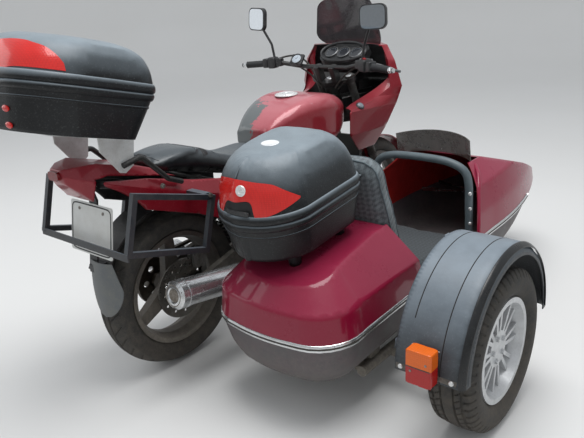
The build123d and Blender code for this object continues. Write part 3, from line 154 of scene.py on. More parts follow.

# ---------------------------------------------------------------------------
# Frame, seat subframe and swingarm: welded steel tube and box section, brushed with satin black
# paint that has dulled and holds road dust. The yokes, grab rails and sidecar struts wear the same paint.
# ---------------------------------------------------------------------------


def weathered(name, colour, dull, patch, share, gloss, grit, depth, dust="#8a8378", mud=0.0, metallic=0.0, coat=0.0,
              ior=1.5, speck=0.0,
              painted_sheen="#8a949c", painted_sheen_share=0.0):
    """A finish that dulls in patches and has a fine grit, both in millimetres. Mud gathers low down on it,
    and a painted sheen, a pale painted sky reflection in broken patches, lies on what faces up."""
    finish = new_finish(name, Metallic=metallic, IOR=ior, Coat_Weight=coat, Coat_Roughness=0.06)
    place = put(finish, "TexCoord")
    spot = place.outputs["Object"]
    drift = put(finish, "TexNoise", {"Vector": spot, "Scale": 1000 / patch, "Detail": 8, "Roughness": 0.65})
    faded = put(finish, "MapRange", {"Value": drift.outputs["Fac"], "From Min": 0.36, "From Max": 0.72,
                "To Max": share})
    tone = put(finish, "Mix", {0: faded.outputs[0], 6: srgb(colour), 7: srgb(dull)}, data_type="RGBA").outputs[2]
    # Fine specks in the dust tone: real dust on most finishes, painted glints on the wine enamel, whose dust tone is
    # pale pink.
    fleck = put(finish, "TexNoise", {"Vector": spot, "Scale": 160, "Detail": 4, "Roughness": 0.8})
    dust_and_glint_specks = put(finish, "MapRange", {"Value": fleck.outputs["Fac"], "From Min": 0.57, "From Max": 0.7,
                 "To Max": speck})
    tone = put(finish, "Mix", {0: dust_and_glint_specks.outputs[0], 6: tone, 7: srgb(dust)}, data_type="RGBA").outputs[2]
    soiled = dust_and_glint_specks.outputs[0]
    # Painted sky reflection: what faces up is painted toward a pale tone, in broken patches.
    if painted_sheen_share:
        upward = put(finish, "SeparateXYZ", {"Vector": place.outputs["Normal"]}).outputs["Z"]
        facing_up = put(finish, "MapRange", {"Value": upward, "From Min": 0.12, "From Max": 0.9, "To Max": painted_sheen_share})
        broken = put(finish, "MapRange", {"Value": drift.outputs["Fac"], "From Min": 0.25, "From Max": 0.65,
                     "To Min": 0.78})
        share_of_sheen = put(finish, "Math", {0: facing_up.outputs[0], 1: broken.outputs[0]}, operation="MULTIPLY")
        tone = put(finish, "Mix", {0: share_of_sheen.outputs[0], 6: tone, 7: srgb(painted_sheen)}, data_type="RGBA").outputs[2]
    if mud:
        height = put(finish, "SeparateXYZ", {"Vector": spot}).outputs["Z"]
        low = put(finish, "MapRange", {"Value": height, "From Min": 0.62, "From Max": 0.12, "To Max": mud})
        splash = put(finish, "TexNoise", {"Vector": spot, "Scale": 45, "Detail": 9, "Roughness": 0.75})
        thrown = put(finish, "Math", {0: low.outputs[0], 1: splash.outputs["Fac"]}, operation="MULTIPLY")
        mudded = put(finish, "MapRange", {"Value": thrown.outputs[0], "From Min": 0.1, "From Max": 0.5})
        tone = put(finish, "Mix", {0: mudded.outputs[0], 6: tone, 7: srgb(dust)}, data_type="RGBA").outputs[2]
        soiled = put(finish, "Math", {0: soiled, 1: mudded.outputs[0]}, operation="ADD", use_clamp=True).outputs[0]
    sheen = put(finish, "MapRange", {"Value": drift.outputs["Fac"], "From Min": 0.3, "From Max": 0.75,
                                              "To Min": gloss[0], "To Max": gloss[1]})
    rough = put(finish, "Mix", {0: soiled, 2: sheen.outputs[0], 3: 0.85})
    grain = put(finish, "TexNoise", {"Vector": spot, "Scale": 1000 / grit, "Detail": 3, "Roughness": 0.6})
    relief = put(finish, "Bump", {"Height": grain.outputs["Fac"], "Strength": 0.6, "Distance": depth / 1000})
    feed(finish, Base_Color=tone, Roughness=rough.outputs[0], Normal=relief.outputs[0])
    return finish


def dress(finish, *nodes):
    """Gives solids of the frame their finish."""
    for node in nodes:
        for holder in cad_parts[node].material_slots:
            holder.material = finish


# Brushed enamel on steel: dark, half dull, with brown road dust low down. Brush marks are about 3 mm apart.
brushed_enamel = weathered("brushed_black_enamel", "#17181a", "#33332f", 60, 0.6, (0.32, 0.6), 3, 0.25, mud=0.75,
                           speck=0.3)
dress(brushed_enamel, "bike_frame", "seat_subframe", "swingarm", "fork_yokes", "sidecar_struts", "grab_rails")


AXLE_LEFT, AXLE_BACK = 415.03, 676.32  # how far the rear axle's middle lies left and back of the frame's origin


def at(x, y, z):
    """A point given in millimetres from the ground under the rear axle, to the right, forward and up."""
    return Vector((x - AXLE_LEFT, y - AXLE_BACK, z)) / 1000


def mm(spot):
    """The millimetres that at() takes for a point."""
    return spot.x * 1000 + AXLE_LEFT, spot.y * 1000 + AXLE_BACK, spot.z * 1000


def show(name, data, finish, body="vehicle"):
    """Shows a mesh or a curve as a piece in its finish, and fixes it to a body."""
    data.materials.append(finish)
    piece = bpy.data.objects.new(name, data)
    bpy.context.scene.collection.objects.link(piece)
    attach(piece, body)
    return piece


def fix(name, form, finish, body="vehicle", crease=32):
    """Shows a form as a piece, with its creases kept sharp."""
    mesh = bpy.data.meshes.new(name)
    bmesh.ops.recalc_face_normals(form, faces=form.faces)
    form.to_mesh(mesh)
    form.free()
    mesh.polygons.foreach_set("use_smooth", [True] * len(mesh.polygons))
    mesh.set_sharp_from_angle(angle=radians(crease))
    return show(name, mesh, finish, body)


def bridge(form, rings, closed=False):
    """Joins rings of corners into a skin, and closes the run into a loop or caps its two ends."""
    for near, far in zip(rings, rings[1:] + (rings[:1] if closed else [])):
        for t in range(len(near)):
            form.faces.new((near[t], near[(t + 1) % len(near)], far[(t + 1) % len(near)], far[t]))
    if not closed:
        form.faces.new(rings[0])
        form.faces.new(rings[-1][::-1])


def turn(form, foot, along, profile, steps, mirror=False):
    """Turns a profile of (distance along the axis, radius) in millimetres about an axis, and closes its ends."""
    axis = Vector(along).normalized()
    first = axis.orthogonal().normalized()
    second = axis.cross(first)
    for side in ((1, -1) if mirror else (1,)):
        rings = []
        for reach, radius in profile:
            ring = []
            for t in range(steps):
                out = first * cos(2 * pi * t / steps) + second * sin(2 * pi * t / steps)
                spot = Vector(foot) + axis * reach + out * max(radius, 0.01)
                ring.append(form.verts.new(at(side * spot.x, spot.y, spot.z)))
            rings.append(ring)
        bridge(form, rings)


def bolt_head(form, spot, along, across=13, tall=5, mirror=False):
    """A hexagon bolt head on its washer, standing on a surface."""
    turn(form, spot, along, ((-2, across * 0.72), (1.2, across * 0.72)), 20, mirror)
    turn(form, spot, along, ((1, across * 0.56), (tall, across * 0.56), (tall + 0.8, across * 0.45)), 6, mirror)


# Zinc plated bolts at the joints of the frame, the loops and the struts, dull and a little rusty.
zinc = weathered("zinc_plate", "#8f8f8b", "#6b5548", 14, 0.8, (0.32, 0.6), 2, 0.05, metallic=0.85)
frame_bolts = bmesh.new()
bolt_head(frame_bolts, (124, 500, 395), (1, 0, 0), 19, 8, True)
bolt_head(frame_bolts, (160, 300, 432), (1, 0, 0), mirror=True)
bolt_head(frame_bolts, (160, 470, 560), (1, 0, 0), mirror=True)
fix("frame_bolts", frame_bolts, zinc)

# Rear shock absorber: a sprung damper behind the gearbox, from the swingarm to the seat rails.
# The coil is wound from 11 mm wire in black enamel round a bright damper tube.
damper = bmesh.new()
turn(damper, (0, 300, 330), (0, 0.22, 1), ((0, 16), (26, 16), (28, 26), (34, 26), (36, 14), (180, 14), (182, 30),
     (190, 30), (194, 18), (250, 18)), 28)
fix("rear_damper", damper, zinc)
coil_line = bpy.data.curves.new("rear_spring", "CURVE")
coil_line.dimensions = "3D"
coil_line.bevel_depth = 0.0055
coil_line.bevel_resolution = 2
coil_line.resolution_u = 4
coil_path = coil_line.splines.new("NURBS")
coil_path.points.add(8 * 12 - 1)
for t, knot in enumerate(coil_path.points):
    climb = 38 + 140 * t / 95
    knot.co = (*at(34 * cos(t * pi / 6), 300 + climb * 0.215 + 34 * sin(t * pi / 6), 330 + climb * 0.976), 1)
coil_path.use_endpoint_u = True
coil_path.order_u = 3
show("rear_spring", coil_line, brushed_enamel)

# ---------------------------------------------------------------------------
# Engine, radiator and exhaust: sand-cast aluminium cases bolted into the frame, a finned core in
# front, and two chromed silencers whose rolled ends close round a small outlet.
# ---------------------------------------------------------------------------
# Cast aluminium keeps the sand's pits and holds oily dirt, so it looks grey and dull. The pits are about 2 mm.
dress(weathered("cast_aluminium", "#6c6c6a", "#35322e", 45, 0.9, (0.42, 0.75), 2.5, 0.4, metallic=0.75, mud=0.6,
      speck=0.3),
      "engine", "footrest_hangers", "rear_brake_caliper", "front_fork")
# Rolled strip fins pressed on flat tubes, drawn as bands 4 mm apart so that they show: the grey bands are the fins, the
# dark bands painted shade in the gaps between them.
fins = new_finish("pressed_fins", Metallic=0.7, Roughness=0.5)
fins_spot = put(fins, "TexCoord").outputs["Object"]
fins_ribs = put(fins, "TexWave", {"Vector": fins_spot, "Scale": 125, "Distortion": 0.4}, bands_direction="Z")
fins_and_gap_shade = put(fins, "Mix", {0: fins_ribs.outputs["Fac"], 6: srgb("#0c0c0d"), 7: srgb("#4a4a48")}, data_type="RGBA")
fins_relief = put(fins, "Bump", {"Height": fins_ribs.outputs["Fac"], "Distance": 0.002})
feed(fins, Base_Color=fins_and_gap_shade.outputs[2], Normal=fins_relief.outputs[0])
dress(fins, "radiator")
# Bent steel pipe in heat: brown and blue bloom over a dull plate.
dress(weathered("heated_steel_pipe", "#6a5a4c", "#3a3330", 50, 0.9, (0.3, 0.6), 3, 0.1, metallic=0.9, mud=0.5),
      "exhaust_pipes")
# Chrome plate on rolled steel: bright, with dull bloom, water marks and a little brown dirt, and a pale painted
# highlight on what faces up.
chrome = weathered("chrome_plate", "#dcdee0", "#a9a7a4", 26, 0.7, (0.12, 0.34), 5, 0.03, metallic=0.85, speck=0.12,
                   dust="#b9b6b0", painted_sheen="#e4e8ea", painted_sheen_share=0.3)
dress(chrome, "mufflers")

silencer_trim = bmesh.new()
SILENCER_TAIL = Vector((222, -172, 394))
silencer_run = (Vector((222, 290, 325)) - SILENCER_TAIL).normalized()
for reach in (40, 392):
    turn(silencer_trim, SILENCER_TAIL + silencer_run * reach, silencer_run, ((0, 53), (0.5, 55.6), (15, 55.6),
         (15.5, 53)), 48, True)
for t in range(3):
    lean = 2 * pi * t / 3 + 0.5
    out = Vector((cos(lean), 0, sin(lean)))
    turn(silencer_trim, SILENCER_TAIL + silencer_run * 2 + out * 46, -silencer_run, ((-3, 4), (1, 4), (2.2, 2.5)),
         12, True)
fix("silencer_trim", silencer_trim, chrome)
# The end plate inside the rolled rim is plain steel gone brown, with the outlet's short lip in its middle.
end_steel = weathered("heated_end_steel", "#a39d95", "#6d5f54", 16, 0.8, (0.35, 0.6), 2, 0.1, metallic=0.6,
                      speck=0.4, dust="#4b3d33")
silencer_ends = bmesh.new()
turn(silencer_ends, SILENCER_TAIL, silencer_run, ((3.5, 31), (1.2, 40), (0.2, 41.5), (-0.6, 41), (-0.2, 38), (6, 29),
     (6.5, 22), (1, 21), (0.4, 19), (1, 17.4), (30, 17.2), (30, 17.9), (9.5, 18.4)), 48, True)
fix("silencer_end_plates", silencer_ends, end_steel)
# Soot finish: real soot at the outlet; on the mudguard the same dark finish is painted shade in its grooves.
soot_and_groove_shade = clouded("soot_and_groove_shade", "#090807", "#2b2420", 300, 4, Roughness=0.95)
outlet_soot = bmesh.new()
turn(outlet_soot, SILENCER_TAIL + silencer_run * 57, silencer_run, ((0, 17.6), (2.6, 17.6)), 32, True)
fix("outlet_soot", outlet_soot, soot_and_groove_shade)

# ---------------------------------------------------------------------------
# Drive: roller chain and sprocket in oily steel, turned brake discs drilled for cooling.
# ---------------------------------------------------------------------------
oily_steel = weathered("oily_steel", "#2e2a26", "#4c3f33", 12, 0.8, (0.3, 0.6), 2, 0.2, metallic=0.8, mud=0.5)
dress(oily_steel, "drive_chain", "rear_sprocket")
dress(weathered("turned_steel", "#8b8984", "#6a5d50", 20, 0.5, (0.22, 0.4), 1.5, 0.05, metallic=1.0, mud=0.3),
      "front_brake_discs", "rear_brake_disc")

# ---------------------------------------------------------------------------
# Motorcycle wheels: cast aluminium with three spokes, sprayed dark and left dull by brake dust.
# Tyres: moulded rubber on the rims, grooved on the crown, grey with dust on the sidewalls.
# ---------------------------------------------------------------------------
dress(weathered("dulled_wheel_paint", "#3b3836", "#5d564d", 40, 0.8, (0.4, 0.65), 3, 0.12, mud=0.55, speck=0.3),
      "rear_wheel", "front_wheel")
wheel_trim = bmesh.new()
for body_side in (-1, 1):
    turn(wheel_trim, (body_side * 52, 0, 320), (body_side, 0, 0), ((0, 26), (3, 26), (6, 19)), 32)
fix("rear_hub_caps", wheel_trim, zinc, "rear_wheel_set")

# Moulded rubber: nearly black, matt, with pale dust in its grain and brown mud between the blocks.
rubber = weathered("moulded_rubber", "#262625", "#4a4640", 35, 0.8, (0.7, 0.95), 1.5, 0.25, dust="#6b6156", mud=0.35,
                   speck=0.45)


def bow(start, middle, end, count):
    """Points along the arc through three points of a section."""
    (ax, ay), (bx, by), (cx, cy) = start, middle, end
    d = 2 * (ax * (by - cy) + bx * (cy - ay) + cx * (ay - by))
    ux = ((ax * ax + ay * ay) * (by - cy) + (bx * bx + by * by) * (cy - ay) + (cx * cx + cy * cy) * (ay - by)) / d
    uy = ((ax * ax + ay * ay) * (cx - bx) + (bx * bx + by * by) * (ax - cx) + (cx * cx + cy * cy) * (bx - ax)) / d
    radius = hypot(ax - ux, ay - uy)
    from_angle = atan2(ay - uy, ax - ux)
    by_middle = (atan2(by - uy, bx - ux) - from_angle) % (2 * pi)
    sweep = (atan2(cy - uy, cx - ux) - from_angle) % (2 * pi)
    if by_middle > sweep:
        sweep -= 2 * pi
    return [(ux + radius * cos(from_angle + sweep * k / count), uy + radius * sin(from_angle + sweep * k / count))
            for k in range(count + 1)]


def tyre(name, node, axle, radius, width, seat, bead, tread, drop, cut, steps, body):
    """A tyre on the rim's own section, with its grooves cut in: cut(across, along) gives a depth in millimetres."""
    middle = seat + 0.5 * (radius - seat)
    section = [(-bead, seat + 14), (-bead, seat), (bead, seat)]
    section += bow((bead, seat + 14), (width / 2, middle), (tread, radius - drop), 16)
    section += bow((tread, radius - drop), (0, radius), (-tread, radius - drop), 46)[1:]
    section += bow((-tread, radius - drop), (-width / 2, middle), (-bead, seat + 14), 16)[1:-1]
    form = bmesh.new()
    rings = []
    for t in range(steps):
        lean = 2 * pi * t / steps
        ring = []
        for across, reach in section:
            sunk = cut(across, lean * radius) if reach > radius - drop - 22 else 0.0
            if middle - 20 < reach < middle + 14:
                sunk = -0.6 if int(reach) % 9 < 3 else 0.0
            out = reach - sunk
            ring.append(form.verts.new(at(axle[0] + across, axle[1] + out * cos(lean), axle[2] + out * sin(lean))))
        rings.append(ring)
    bridge(form, rings, closed=True)
    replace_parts(fix(name, form, rubber, body, 40), node)


def road_grooves(across, along):
    """Slanted grooves either side of a plain middle rib, as on a touring tyre."""
    lean = (along + abs(across) * 1.1) % 62
    if abs(abs(across) - 15) < 2.6:
        return 4.5
    return 4.5 if 22 < abs(across) < 60 and lean < 6.5 else 0.0


def block_grooves(across, along):
    """Ribs and shoulder blocks of a car's winter tyre."""
    if abs(abs(across) - 20) < 3.2 or abs(abs(across) - 48) < 3.6:
        return 6.0
    if abs(across) >= 48:
        return 6.0 if along % 33 < 8 else 0.0
    return 4.5 if (along + across * 0.7) % 28 < 4.5 and abs(across) > 20 else 0.0


tyre("rear_tyre_tread", "rear_tyre", (0, 0, 320), 320, 140, 218, 51, 68, 26, road_grooves, 480, "rear_wheel_set")
tyre("front_tyre_tread", "front_tyre", (0, 1475, 317), 317, 112, 231, 39, 50, 24, road_grooves, 360, "front_wheel_set")
tyre("sidecar_tyre_tread", "sidecar_tyre", (1200, 318, 279), 279, 165, 167, 62, 64, 6, block_grooves, 480,
     "sidecar_wheel_set")

# ---------------------------------------------------------------------------
# Front end: sliders and stanchions, fork yokes, a mudguard and the tapered bar that they carry.
# Grips are ribbed rubber; the switch blocks, levers and mirror stems are moulded or cast.
# ---------------------------------------------------------------------------
# Flake enamel over primer on steel and plastic: a wine red under a clear coat, its fine pale points painted glints of
# the flake, and a pale painted sky reflection on what faces up.
wine = weathered("wine_flake_enamel", "#7d0d1d", "#8c2631", 90, 0.35, (0.3, 0.46), 2, 0.05, metallic=0.1, coat=0.45,
                 ior=1.3, speck=0.1, dust="#b99a96", mud=0.15,
                 painted_sheen="#b8656c", painted_sheen_share=0.22)
dress(wine, "front_mudguard")
# Moulded ABS, grained by its tool, in black: grey where it reflects, the grain about 1.2 mm.
black_moulding = weathered("grained_black_moulding", "#1d1e20", "#3a3b3c", 50, 0.7, (0.38, 0.55), 1.4, 0.35,
                           speck=0.22, dust="#9a978f")
dress(black_moulding, "rear_mudguard", "instrument_panel", "mirrors")
dress(brushed_enamel, "handlebar")

# Grips: moulded in softer, blacker rubber.
grip_rubber = weathered("grip_rubber", "#17191b", "#2c2f32", 30, 0.6, (0.5, 0.75), 1.5, 0.2, speck=0.15, dust="#6e7072")
grips = bmesh.new()
bar_run = (Vector((240, 1030, 1082)) - Vector((450, 980, 1068))).normalized()
bar_end = Vector((450, 980, 1068))
grip_profile = [(26, 15), (28, 17)]
for rib in range(13):
    grip_profile += [(32 + rib * 6.6, 16.8), (34 + rib * 6.6, 15.6), (36 + rib * 6.6, 15.6), (37.6 + rib * 6.6, 16.8)]
grip_profile += [(122, 17.5), (124, 20.5), (128, 20.5), (130, 15)]
turn(grips, bar_end, bar_run, grip_profile, 32, True)
fix("bar_grips", grips, grip_rubber, "steering")
bar_weights = bmesh.new()
turn(bar_weights, bar_end + bar_run * 27, -bar_run, ((0, 13), (2, 14), (7, 14), (8, 11.5), (12, 11.5), (13, 13),
     (19, 13), (20, 11), (27, 11), (29, 8)), 28, True)
fix("bar_end_weights", bar_weights, chrome, "steering")


def blob(form, place, size, turn_to=None, bevel=0.28, mirror=False):
    """A moulded block with well rounded edges, added to a form. The size is in millimetres."""
    for side in ((1, -1) if mirror else (1,)):
        block = bmesh.new()
        bmesh.ops.create_cube(block, size=1)
        bmesh.ops.scale(block, vec=Vector(size), verts=block.verts)
        bmesh.ops.bevel(block, geom=block.edges[:], offset=min(size) * bevel, segments=3, profile=0.6, affect="EDGES")
        lean = turn_to.to_matrix() if turn_to else Matrix.Identity(3)
        kept = {}
        for v in block.verts:
            spot = lean @ v.co + Vector(place)
            kept[v] = form.verts.new(at(side * spot.x, spot.y, spot.z))
        for face in block.faces:
            form.faces.new([kept[v] for v in face.verts])
        block.free()


bar_turn = bar_run.to_track_quat("X", "Z")
switch_blocks = bmesh.new()
for reach, size in ((142, (30, 46, 46)), (178, (42, 56, 56)), (214, (34, 40, 42))):
    blob(switch_blocks, bar_end + bar_run * reach + Vector((0, 0, 2)), size, bar_turn, mirror=True)
fix("switch_blocks", switch_blocks, black_moulding, "steering")
kill_switch = bmesh.new()
blob(kill_switch, bar_end + bar_run * 178 + Vector((0, -6, 32)), (16, 9, 8), bar_turn)
fix("kill_switch", kill_switch, weathered("red_moulding", "#b3161d", "#8a1418", 20, 0.5, (0.35, 0.5), 2, 0.1,
    speck=0.1), "steering")
# Hydraulic reservoir on the right bar and the lever clamps: grey cast alloy.
grey_castings = bmesh.new()
blob(grey_castings, Vector((262, 1052, 1098)), (62, 34, 22), bar_turn)
blob(grey_castings, Vector((-286, 1046, 1084)), (44, 26, 18), bar_turn)
turn(grey_castings, Vector((262, 1020, 1080)), (0, 0, 1), ((0, 13), (16, 13), (20, 9)), 24, True)
grey_casting = weathered("grey_casting", "#7b7c7c", "#57565a", 25, 0.6, (0.35, 0.55), 2, 0.15, metallic=0.7, speck=0.2)
fix("lever_clamps", grey_castings, grey_casting, "steering")


def strand(name, points, radius, finish, body="vehicle", mirror=False):
    """A round bar, lever, hose or cable that runs smoothly through its points, in millimetres."""
    line = bpy.data.curves.new(name, "CURVE")
    line.dimensions = "3D"
    line.bevel_depth = radius / 1000
    line.bevel_resolution = 3
    line.use_fill_caps = True
    for side in ((1, -1) if mirror else (1,)):
        path = line.splines.new("NURBS")
        path.points.add(len(points) - 1)
        for knot, (x, y, z) in zip(path.points, points):
            knot.co = (*at(side * x, y, z), 1)
        path.use_endpoint_u = True
        path.order_u = min(3, len(points))
    return show(name, line, finish, body)


strand("hand_levers", [(276, 1060, 1088), (320, 1068, 1082), (400, 1052, 1062), (448, 1040, 1058)], 6, grey_casting,
       "steering", True)
strand("control_cables", [(285, 1050, 1075), (225, 1085, 1080), (150, 1095, 1050), (80, 1105, 1005),
       (40, 1112, 955)], 4, rubber, "steering", True)
strand("clutch_cable", [(-285, 1040, 1092), (-220, 1110, 1120), (-150, 1130, 1085), (-90, 1130, 1010),
       (-60, 1120, 950)], 4.5, rubber, "steering")
strand("throttle_cables", [(250, 1020, 1066), (190, 1080, 1030), (110, 1130, 1010), (50, 1120, 950)], 3.5, rubber,
       "steering")

# Bar clock: a round quartz clock in a square black case on the left bar, with plain marks and two hands.
clock_case = bmesh.new()
CLOCK_FACE = Vector((-158, 1062, 1098))
clock_facing = Vector((0.12, -0.72, 0.68)).normalized()
clock_turn = clock_facing.to_track_quat("Z", "Y")
blob(clock_case, CLOCK_FACE - clock_facing * 8.5, (68, 62, 17), clock_turn, 0.34)
turn(clock_case, CLOCK_FACE, clock_facing, ((-2, 30), (3, 30), (4.5, 28), (3, 25.5), (0, 24)), 40)
turn(clock_case, CLOCK_FACE - clock_facing * 42, clock_facing, ((0, 9), (30, 9)), 16)
fix("clock_case", clock_case, black_moulding, "steering")
dial = clouded("printed_dial", "#8f9aa4", "#c3cbd2", 120, Roughness=0.25, Coat_Weight=0.6)
clock_dial = bmesh.new()
turn(clock_dial, CLOCK_FACE, clock_facing, ((0, 23.4), (1.4, 23.4), (1.8, 22)), 40)
fix("clock_dial", clock_dial, dial, "steering")
clock_marks = bmesh.new()
for hour in range(12):
    lean = pi * hour / 6
    blob(clock_marks, CLOCK_FACE + clock_facing * 2 + clock_turn @ Vector((18.5 * cos(lean), 18.5 * sin(lean), 0)),
         (1.6, 1.6, 0.6), clock_turn)
for long, lean in ((14, 1.2), (10, 2.7)):
    hand_turn = clock_turn @ Matrix.Rotation(lean, 3, "Z").to_quaternion()
    blob(clock_marks, CLOCK_FACE + clock_facing * 2.3 + hand_turn @ Vector((long / 2 - 1, 0, 0)), (long, 1.3, 0.7),
         hand_turn)
fix("clock_marks", clock_marks, black_moulding, "steering")

# Mirror glass: silvered float glass behind each black shell's rim, facing back.
silvered = clouded("silvered_glass", "#8a9096", "#a9aeb3", 30, 5, Metallic=1.0, Roughness=0.04, Coat_Weight=0.5)
glass_pair = bmesh.new()
for side in (1, -1):
    across_dir = Vector((0.97, 0.2, 0.04)).normalized()
    facing = Vector((0.2, -1, 0.06)).normalized()
    up_dir = facing.cross(across_dir).normalized() * -1
    middle = Vector((342, 984, 1295)) + facing * 0.8
    front, back = [], []
    for t in range(64):
        lean = 2 * pi * t / 64
        u = 57 * copysign(abs(cos(lean)) ** 0.42, cos(lean))
        v = 49 * copysign(abs(sin(lean)) ** 0.42, sin(lean))
        for shell, sink in ((front, 0), (back, -2.2)):
            spot = middle + across_dir * u + up_dir * v + facing * sink
            shell.append(glass_pair.verts.new(at(side * spot.x, spot.y, spot.z)))
    bridge(glass_pair, [front, back])
fix("mirror_glass", glass_pair, silvered, "steering")

# Top yoke dressing: plated stem nut and stanchion caps.
yoke_trim = bmesh.new()
fork_up = Vector((0, -sin(radians(25)), cos(radians(25))))
stem_top = Vector((0, 1580 - 974 * tan(radians(25)), 974)) + fork_up * 22
turn(yoke_trim, stem_top, fork_up, ((-2, 20), (10, 20), (13, 14)), 6)
turn(yoke_trim, stem_top + Vector((96, 35.2, 16.4)), fork_up, ((-6, 18), (6, 18), (9, 13)), 32, True)
fix("yoke_caps", yoke_trim, chrome, "steering")

# ---------------------------------------------------------------------------
# Fuel tank: pressed steel in the wine enamel. Its rear slope has been rubbed and filled, and the
# enamel has flaked from a grey patch. A plated flush cap closes it.
# ---------------------------------------------------------------------------
# The tank's enamel carries a strong pale pink painted sky reflection on what faces up, and fine pale points painted as
# glints.
tank_enamel = weathered("tank_flake_enamel", "#850f20", "#94303b", 120, 0.5, (0.3, 0.45), 2, 0.05, metallic=0.1,
                        coat=0.7, ior=1.35, speck=0.1, dust="#b99a96",
                        painted_sheen="#cf828a", painted_sheen_share=0.6)
tank_spot = put(tank_enamel, "TexCoord").outputs["Object"]
tank_split = put(tank_enamel, "SeparateXYZ", {"Vector": tank_spot})
tank_flake = put(tank_enamel, "TexNoise", {"Vector": tank_spot, "Scale": 15, "Detail": 9, "Roughness": 0.72})
tank_slope = put(tank_enamel, "MapRange", {"Value": tank_split.outputs["X"], "From Min": -0.34, "From Max": -0.55})
tank_rear = put(tank_enamel, "MapRange", {"Value": tank_split.outputs["Y"], "From Min": 0.12, "From Max": -0.05})
tank_worn = put(tank_enamel, "Math", {0: tank_slope.outputs[0], 1: tank_rear.outputs[0]}, operation="MULTIPLY")
tank_edge = put(tank_enamel, "Math", {0: tank_worn.outputs[0], 1: tank_flake.outputs["Fac"]}, operation="MULTIPLY")
tank_bare = put(tank_enamel, "MapRange", {"Value": tank_edge.outputs[0], "From Min": 0.2, "From Max": 0.215})
tank_under = tank_enamel.node_tree.nodes["Principled BSDF"].inputs["Base Color"].links[0].from_socket
tank_tone = put(tank_enamel, "Mix", {0: tank_bare.outputs[0], 6: tank_under, 7: srgb("#5d6263")}, data_type="RGBA")
feed(tank_enamel, Base_Color=tank_tone.outputs[2])


def soften(name, node, finish, body="vehicle", span=16, passes=14, keep=50, lining=None):
    """A moulded or pressed panel: its solid cut into even small faces, and all of it but its sharp edges relaxed.
    A lining is the finish of the faces that look inward."""
    form = bmesh.new()
    form.from_mesh(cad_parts[node].data)
    bmesh.ops.remove_doubles(form, verts=form.verts, dist=0.00002)
    for edge in form.edges:
        edge.smooth = len(edge.link_faces) == 2 and edge.calc_face_angle(0) < radians(keep)
    bmesh.ops.dissolve_limit(form, angle_limit=radians(0.5), verts=form.verts, edges=form.edges, delimit={"SHARP"})
    bmesh.ops.triangulate(form, faces=form.faces)
    for _ in range(9):
        wide = [e for e in form.edges if e.calc_length() > span / 1000]
        if not wide:
            break
        bmesh.ops.subdivide_edges(form, edges=wide, cuts=1)
        bmesh.ops.triangulate(form, faces=[f for f in form.faces if len(f.verts) > 3])
    held = {v for e in form.edges if not e.smooth for v in e.verts}
    free = [v for v in form.verts if v not in held]
    for _ in range(passes):
        bmesh.ops.smooth_vert(form, verts=free, factor=0.5, use_axis_x=True, use_axis_y=True, use_axis_z=True)
    panel = fix(name, form, finish, body, keep)
    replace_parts(panel, node)
    if lining:
        lowest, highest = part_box(node)
        panel.data.materials.append(lining)
        for face in panel.data.polygons:
            face.material_index = int(face.normal.dot(face.center - (Vector(lowest) + Vector(highest)) / 2) < 0)
    return panel


soften("tank_pressing", "fuel_tank", tank_enamel)
tank_cap = bmesh.new()
turn(tank_cap, (-6, 790, 968), (0, -0.05, 1), ((0, 54), (3, 54), (5, 51), (5, 43), (7.5, 41), (9, 36), (8, 33),
     (8, 10), (6.5, 8)), 48)
for t in range(5):
    lean = 2 * pi * t / 5 + 0.3
    turn(tank_cap, (-6 + 47 * cos(lean), 790 + 47 * sin(lean), 972), (0, -0.05, 1), ((0, 3.4), (2.6, 3.4), (3.4, 2)),
         12)
polished_alloy = weathered("polished_alloy", "#e6e8e8", "#c9cac8", 20, 0.5, (0.18, 0.34), 2, 0.04, metallic=0.35,
                           speck=0.2)
fix("tank_cap_ring", tank_cap, polished_alloy)

# ---------------------------------------------------------------------------
# Seat: moulded foam under black grained vinyl, sewn across between rider and passenger, on a
# plastic pan. A rubber strap lies over it and hooks on the grab rails.
# ---------------------------------------------------------------------------


def settle(thing):
    """Makes what the modifiers give the object's own mesh, and leaves no modifier on it."""
    seen = thing.evaluated_get(bpy.context.evaluated_depsgraph_get())
    mesh = bpy.data.meshes.new_from_object(seen)
    thing.modifiers.clear()
    thing.data = mesh


